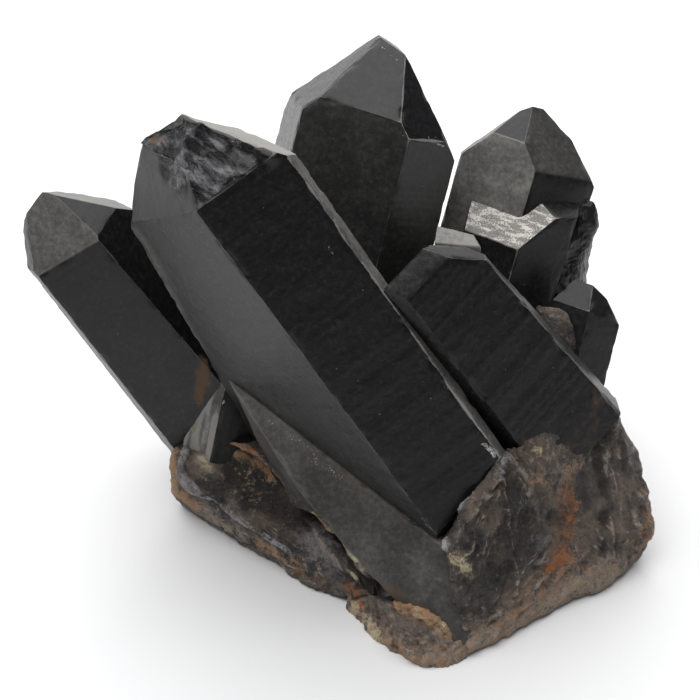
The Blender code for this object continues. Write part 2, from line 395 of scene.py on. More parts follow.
def grid_normals(grid):
    """Normals of a grid closed around its columns: the cross product of its two central differences."""
    around = np.roll(grid, -1, axis=1) - np.roll(grid, 1, axis=1)
    along = np.gradient(grid, axis=0)
    normal = np.cross(around, along)
    return normal / np.maximum(np.linalg.norm(normal, axis=-1, keepdims=True), 1e-9)


def close_grid(grid):
    """The grid's points in one list, with the middle of its first and last rows after them."""
    flat = grid.reshape(-1, grid.shape[-1])
    return np.concatenate((flat, grid[:1].mean(axis=1), grid[-1:].mean(axis=1)))


def make_mesh(name, grid, values, sharp):
    """A closed mesh object from a grid of points in mm, with named values at every point, and with edges
    shaded sharp past an angle in degrees."""
    rows, columns = grid.shape[:2]
    quads, fans = grid_faces(rows, columns)
    points = close_grid(grid) * MM
    mesh = bpy.data.meshes.new(name)
    mesh.vertices.add(len(points))
    mesh.vertices.foreach_set("co", points.ravel())
    loops = np.concatenate((quads.ravel(), fans.ravel()))
    starts = np.concatenate((np.arange(len(quads)) * 4, len(quads) * 4 + np.arange(len(fans)) * 3))
    mesh.loops.add(len(loops))
    mesh.loops.foreach_set("vertex_index", loops)
    mesh.polygons.add(len(starts))
    mesh.polygons.foreach_set("loop_start", starts)
    mesh.update(calc_edges=True)
    for label, value in values.items():
        layer = mesh.attributes.new(label, "FLOAT", "POINT")
        layer.data.foreach_set("value", close_grid(value[..., None])[:, 0].astype(np.float32))
    tidy = bmesh.new()
    tidy.from_mesh(mesh)
    bmesh.ops.remove_doubles(tidy, verts=tidy.verts[:], dist=MERGE * MM)
    bmesh.ops.dissolve_degenerate(tidy, edges=tidy.edges[:], dist=MERGE * MM)
    bmesh.ops.recalc_face_normals(tidy, faces=tidy.faces[:])
    tidy.to_mesh(mesh)
    tidy.free()
    mesh.shade_smooth()
    mesh.set_sharp_from_angle(angle=math.radians(sharp))
    thing = bpy.data.objects.new(name, mesh)
    bpy.context.scene.collection.objects.link(thing)
    return thing


# Crystals

# Way that the hackle of the broken tip runs, down across it, and how far it is drawn out
HACKLE_WAY = (0.72, -0.56, -0.4)
HACKLE_DRAW = 2.6

# Sizes in mm of a crystal's growth steps, hills, worn band, nicks, breaks, ribs of film and lines of painted
# sheen
STEP_SIZES = (0.9, 4.5)
HILL_SIZES = (7.0, 1.4)
WEAR_SIZE = 1.6
NICK_SIZE = 3.2
BREAK_SIZES = (6.5, 2.0)
RIB_SIZE = 1.1
SHEEN_LINE_SIZE = 0.45

# Half widths of the worn band and of the nicks along an edge, and how far from it hills are whole, in mm
WEAR_WIDTH = 0.45
NICK_WIDTH = 0.9
HILL_REACH = 1.2

# Wear of an edge that the looks don't name
USUAL_WEAR = 0.12

# How each crystal's faces and edges are dusted, worn, broken, chipped and stained, with places in mm
LOOKS = {
    "main_crystal": {
        "seed": 3,
        "broken": {"point0": 1.0, "point1": 1.0, "chip0": 1.0},
        "broken_places": ((((-40.0, -7.0, 110.5), (-36.5, -14.0, 109.0)), 2.6, 0.9),),
        "sound_places": ((((-16.9, -14.6, 117.4), (-18.6, -15.2, 116.4)), 3.6, 1.2),),
        "film": {
            "side5": (0.1, 0.0), "point5": 0.11, "side0": 0.0, "chip2": 1.25, "side1": 0.45, "chip5": 0.2,
        },
        "film_places": (
            (((-50.0, -2.5, 88.0), (-46.5, -2.9, 82.0), (-40.9, -0.9, 63.0), (-36.9, -1.0, 54.0)), 2.4, 0.3),
        ),
        "worn": {
            "side0 side1": 0.8, "side0 side5": 0.3, "side0 point0": 0.3, "side0 chip0": 0.5,
            "side5 chip0": 0.4, "point5 chip0": 0.3, "side5 chip5": 0.3, "point5 side5": 0.2,
            "chip2 point0": 0.6,
        },
        "worn_places": ((((22.1, -25.0, 65.1), (35.8, -30.3, 43.0)), 3.0, 1.0),),
        "chips": (
            (((9.0, -20.5, 86.0), (22.1, -25.0, 65.1)), 0.5, 0.62),
            (((22.1, -25.0, 65.1), (32.0, -29.3, 48.0)), 0.5, 0.62),
            (((33.4, -29.8, 46.5), (35.8, -30.3, 43.0)), 1.6, 0.72),
            (((-4.3, -20.0, 96.4), (-3.4, -20.3, 95.0), (-2.3, -20.7, 93.3)), 1.0, 0.62),
            (((-7.0, -21.2, 94.5), (-3.4, -20.3, 95.0)), 0.8, 0.52),
            (((-20.7, -22.9, 97.6),), 0.5, 0.8),
            (((-31.5, -22.0, 104.4), (-19.2, -25.9, 86.0), (-5.8, -30.2, 67.8)), 0.45, 0.56),
            # These chips on the broken tip are painted glints of its glassy facets
            (((-37.6, -3.8, 119.6), (-35.4, -6.0, 119.8)), 0.9, 0.66),
            (((-25.2, -10.6, 118.3), (-22.4, -12.2, 117.9)), 1.2, 0.58),
            (((-20.2, -15.5, 115.8), (-19.4, -16.4, 115.0)), 1.4, 0.57),
            (((-25.0, -15.3, 114.7),), 0.8, 0.66),
            (((-28.6, -15.8, 113.4),), 0.8, 0.66),
            (((-26.8, -17.5, 112.5), (-26.0, -18.2, 112.0)), 0.9, 0.64),
            (((-38.0, -12.2, 108.3), (-37.0, -14.0, 107.8)), 0.7, 0.62),
            (((-39.0, -9.0, 109.6), (-36.0, -9.5, 112.0), (-33.5, -10.0, 114.5)), 1.4, 0.5),
            (((18.0, -38.0, 30.0), (21.9, -39.1, 25.3)), 0.8, 0.65),
        ),
        "stains": (
            (((-44.7, 2.0, 112.0), (-41.5, -1.0, 113.0)), 2.0, 0.8),
            (((-37.4, -4.0, 119.8), (-35.6, -5.4, 121.0)), 1.6, 0.9),
            (((-34.6, -18.6, 107.4), (-33.4, -20.6, 107.4)), 1.6, 0.55),
            (((-20.7, -22.9, 80.0), (-22.0, -22.5, 79.0)), 1.5, 0.4),
        ),
        "raised": (
            (((-36.4, -5.0, 120.5),), 2.2, 0.7),
            (((-42.0, 0.0, 113.6),), 1.6, -0.8),
            (((-24.0, -12.4, 117.6), (-21.0, -13.5, 117.4)), 1.8, -1.1),
            (((-18.2, -14.2, 117.4), (-16.2, -15.4, 116.8)), 1.4, 0.8),
        ),
    },
    "left_crystal": {
        "seed": 5,
        "film": {
            "side0": (0.09, 0.0), "side1": 0.0, "point0": 0.43, "point1": 0.0, "point2": 0.5, "side5": 0.3,
        },
        "worn": {"side0 point0": 0.3, "point0 point1": 0.3, "side0 side1": 0.25, "side0 side5": 0.35},
        "stains": (
            (((-49.7, 1.3, 44.0), (-40.0, 2.0, 32.0)), 4.0, 0.4),
            (((-36.0, 2.5, 46.0), (-37.5, 1.0, 34.4)), 2.2, 0.9),
        ),
    },
    "rear_center_crystal": {
        "seed": 7,
        "film": {"side5": 0.0, "point0": 0.05, "side0": (0.02, 0.16), "side1": 0.15, "point1": 0.0},
        "worn": {
            "point0 point1": 0.5, "point1 side1": 0.6, "side0 point0": 0.25, "side0 side1": 0.25,
            "point0 point5": 0.4, "side0 side5": 0.3,
        },
        "worn_places": ((((13.6, 19.4, 102.9), (24.4, 24.6, 95.9)), 3.0, 1.0),),
        "chips": (
            (((13.6, 19.4, 102.9), (19.3, 22.2, 100.3), (24.4, 24.6, 95.9)), 0.7, 0.75),
            (((14.6, 16.9, 97.4),), 0.9, 0.7),
            (((12.1, 36.0, 113.3), (9.0, 40.0, 115.5)), 0.9, 0.65),
        ),
    },
    "right_crystal": {
        "seed": 11,
        "film": {"side0": 0.0, "side5": 0.0, "point0": 0.07, "point1": 0.0, "point2": 0.5, "side1": 0.1},
        "worn": {"side0 side1": 0.5, "point0 point1": 0.3, "side0 point0": 0.25, "side1 point1": 0.5},
        "chips": (
            (((55.3, -17.3, 46.4), (57.3, -15.5, 48.1)), 1.6, 0.52),
            (((44.5, -24.5, 42.5), (48.7, -25.4, 37.5)), 2.6, 0.62),
        ),
        "stains": (
            (((62.6, -13.4, 46.3), (58.0, -20.0, 38.0), (48.0, -24.5, 37.0)), 5.5, 0.5),
            (((40.0, -22.0, 48.0), (46.0, -26.0, 36.0)), 2.5, 0.6),
        ),
    },
    "rear_right_crystal": {
        "seed": 13,
        "film": {"side0": 0.78, "point0": 0.03, "point1": 0.2, "side1": 0.0, "side5": 0.6, "point5": 0.7},
        "worn": {"side0 point0": 0.3, "point0 point1": 0.3, "side0 side1": 0.3, "side0 side5": 0.4},
        "stains": ((((56.8, 24.8, 60.0),), 4.0, 0.8), (((24.5, 32.0, 65.5), (28.3, 29.4, 64.0)), 3.0, 0.5)),
        "raised": ((((60.0, 30.0, 80.0),), 8.0, 1.2),),
    },
    "stepped_crystal": {
        "seed": 17,
        # The shelf, face point0, is painted near white: its thick film and the white chips in lines below
        # are a painted sheen of the top light that it reflects
        "film": {"chip0": 0.03, "point0": 1.3, "side0": 0.03, "side1": 0.05, "point1": 0.1},
        "worn": {"chip0 side0": 0.8, "point0 side0": 0.6, "side0 side1": 0.5},
        "chips": (
            (((30.0, 27.0, 74.0), (38.0, 22.0, 74.5), (44.0, 19.0, 75.0), (52.0, 24.0, 78.0)), 14.0, 2.0),
        ),
        "sheen_lines": (0.82, -0.55, 0.0),
        "sheen_face": "point0",
    },
    "far_right_crystal": {
        "seed": 19,
        "film": {"point0": 0.0, "point1": 0.02, "side0": 0.05, "side1": 0.0},
        "worn": {"point0 side0": 0.3, "point0 point1": 0.3},
        "stains": ((((54.0, 2.0, 52.0),), 5.0, 0.6),),
    },
    "lower_left_crystal": {
        "seed": 23,
        "film": {"side0": 1.5, "point0": 0.8, "side5": 1.5, "side1": 0.08, "point1": 0.15},
        "ribbed": 0.75,
        "worn": {"side0 side1": 0.5},
        "chips": ((((-31.0, -0.4, 34.9),), 1.2, 0.9),),
        "stains": ((((-38.0, 0.5, 38.0), (-40.0, -0.5, 24.0)), 1.6, 0.75),),
    },
}


def directions(spec):
    """The crystal's axis, and the two radial directions that its faces are turned from."""
    lean = math.radians(spec["lean"])
    heading = math.radians(spec["heading"])
    axis = np.array((math.sin(lean) * math.cos(heading), math.sin(lean) * math.sin(heading), math.cos(lean)))
    front = np.array((0.0, -1.0, 0.0))
    front = front - axis * (front @ axis)
    front = front / np.linalg.norm(front)
    return axis, front, np.cross(axis, front)


def face_list(spec):
    """Every face of a crystal as (label, turn, rise, distance)."""
    faces = []
    for number in range(6):
        turn = spec["spin"] + 60.0 * number
        faces.append((f"side{number}", turn, spec["taper"], spec["sides"][number]))
        faces.append((f"point{number}", turn, POINT_RISE, spec["points"][number]))
    for number, (turn, rise, distance) in enumerate(spec["chips"]):
        faces.append((f"chip{number}", turn, rise, distance))
    return faces


def face_normals(spec):
    """Normals and distances of a crystal's faces: (front cos turn + right sin turn) cos rise, plus
    axis sin rise."""
    axis, front, right = directions(spec)
    turn = np.radians([face[1] for face in face_list(spec)])[:, None]
    rise = np.radians([face[2] for face in face_list(spec)])[:, None]
    radial = front * np.cos(turn) + right * np.sin(turn)
    return radial * np.cos(rise) + axis * np.sin(rise), np.array([face[3] for face in face_list(spec)])


def corner_heights(spec):
    """Heights along the axis of the corners where three faces meet inside all the others."""
    normals, distances = face_normals(spec)
    triples = np.array(list(itertools.combinations(range(len(normals)), 3)))
    matrix = normals[triples]
    good = np.abs(np.linalg.det(matrix)) > 1e-3
    corners = np.linalg.solve(matrix[good], distances[triples[good]][..., None])[..., 0]
    inside = (corners @ normals.T <= distances + 1e-6).all(axis=1)
    return np.unique(np.round(corners[inside] @ directions(spec)[0], 2))


def cross_sections(spec, heights, wander):
    """Where the section at each height t meets its sides: side k is the line at the least (distance -
    t sin rise) / cos rise of the faces with its turn, between the two lines that cut it first."""
    turns = sorted({round(face[1] % 360.0, 3) for face in face_list(spec)})
    count = len(turns)
    away = np.full((count, len(heights)), FAR)
    for _, turn, rise, distance in face_list(spec):
        slot = turns.index(round(turn % 360.0, 3))
        line = (distance - heights * math.sin(math.radians(rise))) / math.cos(math.radians(rise))
        away[slot] = np.minimum(away[slot], line)
    away = away - wander(np.array(turns), heights)
    angle = np.radians(turns)
    low = np.full((count, len(heights)), -FAR)
    high = np.full((count, len(heights)), FAR)
    for side in range(count):
        for other in range(count):
            lean = math.sin(angle[other] - angle[side])
            same = math.cos(angle[other] - angle[side])
            if abs(lean) < 1e-6:
                continue
            bound = (away[other] - away[side] * same) / lean
            if lean > 0.0:
                high[side] = np.minimum(high[side], bound)
            else:
                low[side] = np.maximum(low[side], bound)
    normal = np.stack((np.cos(angle), np.sin(angle)), axis=-1)
    along = np.stack((-np.sin(angle), np.cos(angle)), axis=-1)
    start = away[..., None] * normal[:, None] + low[..., None] * along[:, None]
    end = away[..., None] * normal[:, None] + high[..., None] * along[:, None]
    shown = high > low
    for side in list(range(count)) * 2:
        gone = ~shown[side]
        start[side][gone] = end[side - 1][gone]
        end[side][gone] = end[side - 1][gone]
    return start, end


def crystal_grid(spec, step, wander):
    """P(u, t) = at + t axis + the point a part u of the way along the sides of the section at height t."""
    axis, front, right = directions(spec)
    marks = corner_heights(spec)
    top = marks.max()
    heights = np.arange(-spec["foot"], top, step)
    gaps = np.abs(heights[:, None] - marks[None, :]).min(axis=1)
    heights = np.sort(np.concatenate((heights[gaps > step * 0.4], marks[marks > -spec["foot"]])))
    heights[-1] = top - TIP_GAP
    start, end = cross_sections(spec, heights, wander)
    width = np.linalg.norm(end - start, axis=-1).max(axis=1)
    rings = []
    for side in range(len(width)):
        count = max(3, int(math.ceil(width[side] / step)))
        even = np.arange(count) / count
        part = (even - EDGE_CROWD * np.sin(2 * math.pi * even) / (2 * math.pi))[None, :, None]
        rings.append(start[side][:, None] * (1.0 - part) + end[side][:, None] * part)
    section = np.concatenate(rings, axis=1)
    grid = np.array(spec["at"]) + SHIFT + axis * heights[:, None, None]
    grid = grid + front * section[..., :1] + right * section[..., 1:]
    return grid, np.broadcast_to(heights[:, None], section.shape[:2])


def edge_facts(normals, slack):
    """For every point: its own face, the face across the nearest edge, and how far off that edge is."""
    own = slack.argmin(axis=-1)
    between = np.sqrt(np.clip(1.0 - (normals @ normals.T) ** 2, 0.02, 1.0))
    reach = slack / between[own]
    np.put_along_axis(reach, own[..., None], FAR, axis=-1)
    return own, reach.argmin(axis=-1), np.clip(reach.min(axis=-1), 0.0, 50.0)


def pair_amounts(labels, pairs, usual):
    """A table with an amount for each pair of faces, from pairs like "side0 side1" and a usual amount."""
    table = np.full((len(labels), len(labels)), usual)
    for pair, amount in pairs.items():
        first, second = (labels.index(label) for label in pair.split())
        table[first, second] = table[second, first] = amount
    return table


def blend_normals(normals, slack):
    """Each point's outward direction: the normals of its faces, weighed by exp(-slack / reach)."""
    outward = np.exp(-np.clip(slack, 0.0, 8.0) / BLEND_REACH) @ normals
    return outward / np.maximum(np.linalg.norm(outward, axis=-1, keepdims=True), 1e-9)


def by_face(own, labels, amounts, along, foot):
    """A value for each face, given as one number, or as two for the foot and the tip."""
    total = np.zeros(own.shape)
    reach = smooth(-foot, along.max(), along)
    for label, amount in amounts.items():
        low, high = amount if isinstance(amount, tuple) else (amount, amount)
        here = own == labels.index(label)
        total[here] = (low + (high - low) * reach)[here]
    return total


def grow_crystal(name, spec, looks, sizes):
    """One crystal, P + n h: n is the blended normal of its faces, and h is hills, less wear and nicks that
    fall off as exp(-(e / w)^2) at the distance e from an edge, plus scooped hackle where it is broken."""
    seed = looks["seed"]
    labels = [face[0] for face in face_list(spec)]
    normals, distances = face_normals(spec)

    def wander(turns, heights):
        """How far the growth steps draw each side in at each height."""
        track = np.stack(np.broadcast_arrays(turns[:, None] * 0.7, heights[None, :], seed * 3.1), axis=-1)
        fine = noise(track, STEP_SIZES[0], seed)
        wide = noise(track, STEP_SIZES[1], seed + 5)
        return sizes.growth_step / MM * (0.45 * fine + wide)

    grid, along = crystal_grid(spec, sizes.grid_step / MM, wander)
    slack = distances - (grid - np.array(spec["at"]) - SHIFT) @ normals.T
    own, other, edge = edge_facts(normals, slack)
    outward = blend_normals(normals, slack)
    worn = pair_amounts(labels, looks["worn"], USUAL_WEAR)[own, other]
    worn = np.maximum(worn, strokes(grid, looks.get("worn_places", ())))
    inner = smooth(0.0, HILL_REACH, edge)

    hills = fractal(grid, HILL_SIZES[0], seed + 2, 3) + 0.3 * noise(grid, HILL_SIZES[1], seed + 3)
    relief = sizes.hillock / MM * inner * hills
    wear = sizes.edge_wear / MM * (0.6 + 0.8 * noise(grid, WEAR_SIZE, seed + 7)) * (0.5 + worn)
    nick = smooth(0.1, 0.7, noise(grid, NICK_SIZE, seed + 11)) * sizes.edge_chip / MM * (0.3 + worn)
    relief = relief - np.exp(-((edge / WEAR_WIDTH) ** 2)) * wear - np.exp(-((edge / NICK_WIDTH) ** 2)) * nick

    broken = by_face(own, labels, looks.get("broken", {}), along, spec["foot"])
    broken = np.maximum(broken, strokes(grid, looks.get("broken_places", ())))
    broken = np.maximum(broken - strokes(grid, looks.get("sound_places", ())), 0.0)
    if broken.max() > 0.0:
        coarse = scoops(grid, BREAK_SIZES[0], seed + 17)
        hackle = scoops(stretched(grid, HACKLE_WAY, HACKLE_DRAW), BREAK_SIZES[1], seed + 23)
        depth = smooth(0.0, 0.6, broken) * sizes.break_depth / MM
        relief = relief + depth * (1.9 * coarse + 0.5 * hackle - 0.7)
    raised = (height * stroke(grid, path, radius) for path, radius, height in looks.get("raised", ()))
    relief = relief + sum(raised)
    grid = grid + outward * relief[..., None]

    film = by_face(own, labels, looks["film"], along, spec["foot"])
    film = np.maximum(film + strokes(grid, looks.get("film_places", ())), 0.0)
    if "ribbed" in looks:
        ribs = noise(stretched(grid, directions(spec)[0], 9.0), RIB_SIZE, seed + 41)
        film = film * (1.0 - looks["ribbed"] * smooth(-0.2, 0.5, ribs))
    ragged = frayed(grid, 0.9, 1.8, seed + 31, 1, 1)
    values = {
        "along": along,
        "edge": edge,
        "worn": worn,
        "film": film,
        "broken": broken,
        "chip": strokes(ragged, looks.get("chips", ())),
        "stain": strokes(ragged, looks.get("stains", ())),
    }
    # Painted sheen: on the stepped crystal's shelf the chips are drawn in lines on one face
    if "sheen_lines" in looks:
        lines = noise(stretched(grid, looks["sheen_lines"], 5.0), SHEEN_LINE_SIZE, seed + 43)
        here = by_face(own, labels, {looks["sheen_face"]: 1.0}, along, spec["foot"])
        values["chip"] = np.minimum(values["chip"], 1.0) * (0.67 + 0.2 * lines) * here
    return make_mesh(name, grid, values, CRYSTAL_SHARP)


# Root lumps

# Way along the smooth body that its growth lines are counted
WEDGE_WAY = (-0.55, 0.17, 0.82)

# Where the smooth body's lower edge is drawn in above the scoop: path, radius and shift in mm
WEDGE_DRAWN_IN = (
    ((-4.5, -27.5, 12.5), (1.0, -35.0, 8.5), (6.0, -43.0, 5.0), (10.0, -49.0, 2.5)),
    7.0, (7.5, 0.8, 1.5),
)

# Path of the smooth body's crusted edge, in mm
WEDGE_CRUST = (
    (-21.7, -6.1, 21.8), (-7.8, -21.6, 16.3), (1.6, -31.1, 15.8), (6.1, -35.5, 9.7), (13.0, -50.0, 3.0),
)

# Worn edge, crushed specks and stains of the smooth body: path in mm, radius and amount
WEDGE_WORN = ((((-21.7, -6.1, 21.8), (-7.8, -21.6, 16.3), (9.7, -43.0, 6.8)), 3.0, 1.0),)
WEDGE_CHIPS = (
    (
        (
            (-20.8, -11.1, 40.9), (-17.5, -14.0, 38.8), (-11.5, -17.6, 36.7), (-6.3, -22.2, 33.2),
            (-1.6, -25.4, 31.1),
        ),
        1.9, 0.59,
    ),
    (((-16.4, -17.8, 28.9), (-11.3, -24.5, 26.6), (-3.8, -31.1, 22.6)), 4.0, 0.46),
    (((2.0, -30.0, 20.0), (12.0, -43.0, 14.0), (20.0, -48.0, 14.0)), 7.0, 0.42),
    (((14.5, -33.8, 26.9), (19.3, -37.5, 24.7), (23.5, -42.3, 24.1)), 1.1, 0.6),
    (((4.5, -35.2, 15.5), (6.5, -36.5, 11.0)), 2.0, 0.6),
)
WEDGE_STAINS = (
    (((-20.8, -11.1, 40.9), (-6.3, -22.2, 33.2), (14.5, -33.8, 26.9)), 2.6, 0.55),
    (((-21.7, -6.1, 21.8), (-7.8, -21.6, 16.3), (5.6, -35.2, 12.9)), 2.0, 0.8),
    (((6.0, -38.0, 11.0), (18.1, -49.5, 9.6), (24.1, -53.0, 5.6)), 3.5, 0.7),
    (((8.0, -40.0, 6.0), (14.0, -51.0, 2.0)), 3.5, 0.9),
    (((2.0, -27.0, 22.0), (8.0, -33.0, 20.0)), 5.0, 0.4),
)

# Scooped breaks of the root: size in mm, way and factor that they are drawn out by, and share of the depth
ROOT_BREAKS = (
    (13.0, (0.0, 0.0, 1.0), 1.0, 1.5),
    (4.5, (0.3, 0.5, -0.8), 1.6, 0.8),
    (1.7, (0.5, 0.3, -0.8), 1.8, 0.5),
)
RIDGE_SIZE = 1.2

# Where the ribbed break under the thickest crystal starts, and the ways across and down it
FAN_APEX = (38.0, -30.0, 42.0)
FAN_ACROSS = (0.939, 0.21, -0.272)
FAN_DOWN = (-0.137, -0.494, -0.858)
FAN_AREA = ((((37.0, -31.0, 36.0), (34.0, -38.0, 24.0), (36.0, -45.0, 14.0)), 9.5, 1.0),)

# Ribs to each radian of the fan, how much they change for each mm down it, and the scales and seeds of
# their two sizes
FAN_RIBS = 6.0
FAN_DRIFT = 0.04
FAN_SIZES = ((1.0, 71), (2.3, 73))

# Way that the root's streaks run where no place names one, how far named ones are drawn out, and their seed
USUAL_FLOW = (0.3, 0.4, -0.85)
FLOW_DRAW = 7.0
FLOW_SEED = 501

# Marks that a root piece carries at every point
MARKS = ("rust", "clay", "glass", "pale", "dark", "light", "lip")

# Streaked places of the root: path in mm, radius, way that the streaks run, their width and depth in mm
FLOWS = {
    "scoop": (
        ((-9.0, -26.0, 13.0), (-4.0, -31.0, 11.0), (-1.0, -37.0, 7.0)),
        5.5, (0.45, -0.75, -0.5), 1.5, 0.55,
    ),
    "rim": (
        ((-42.0, -8.0, 5.0), (-26.0, -19.0, 4.0), (-10.0, -32.0, 3.0)),
        5.0, (0.73, -0.68, 0.0), 1.1, 0.3,
    ),
    "right side": (
        ((66.0, -18.0, 28.0), (72.0, -21.0, 15.0), (66.0, -30.0, 6.0)),
        12.0, (0.1, -0.35, -0.93), 1.5, 0.4,
    ),
    "foot": (
        ((24.0, -54.0, 4.0), (36.0, -49.0, 6.0), (50.0, -40.0, 8.0), (60.0, -34.0, 5.0)),
        7.0, (0.72, 0.5, 0.35), 1.4, 0.45,
    ),
    "under the fan": (((40.0, -42.0, 12.0), (52.0, -34.0, 16.0)), 6.0, (0.72, 0.45, 0.4), 1.7, 0.5),
    "toe": (((8.0, -44.0, 4.0), (14.0, -53.0, 2.0), (24.0, -57.0, 2.0)), 6.0, (0.3, -0.6, -0.75), 1.5, 0.6),
    "fan": (
        ((38.0, -31.0, 36.0), (35.0, -38.0, 25.0), (36.0, -45.0, 15.0)),
        9.0, (-0.3, -0.45, -0.84), 2.6, 0.7,
    ),
    "lip": (
        ((-43.4, -6.9, 16.9), (-40.6, -11.0, 15.2), (-26.4, -20.4, 12.1), (-12.0, -30.4, 9.0)),
        2.4, (0.72, -0.66, -0.2), 0.9, 0.4,
    ),
}

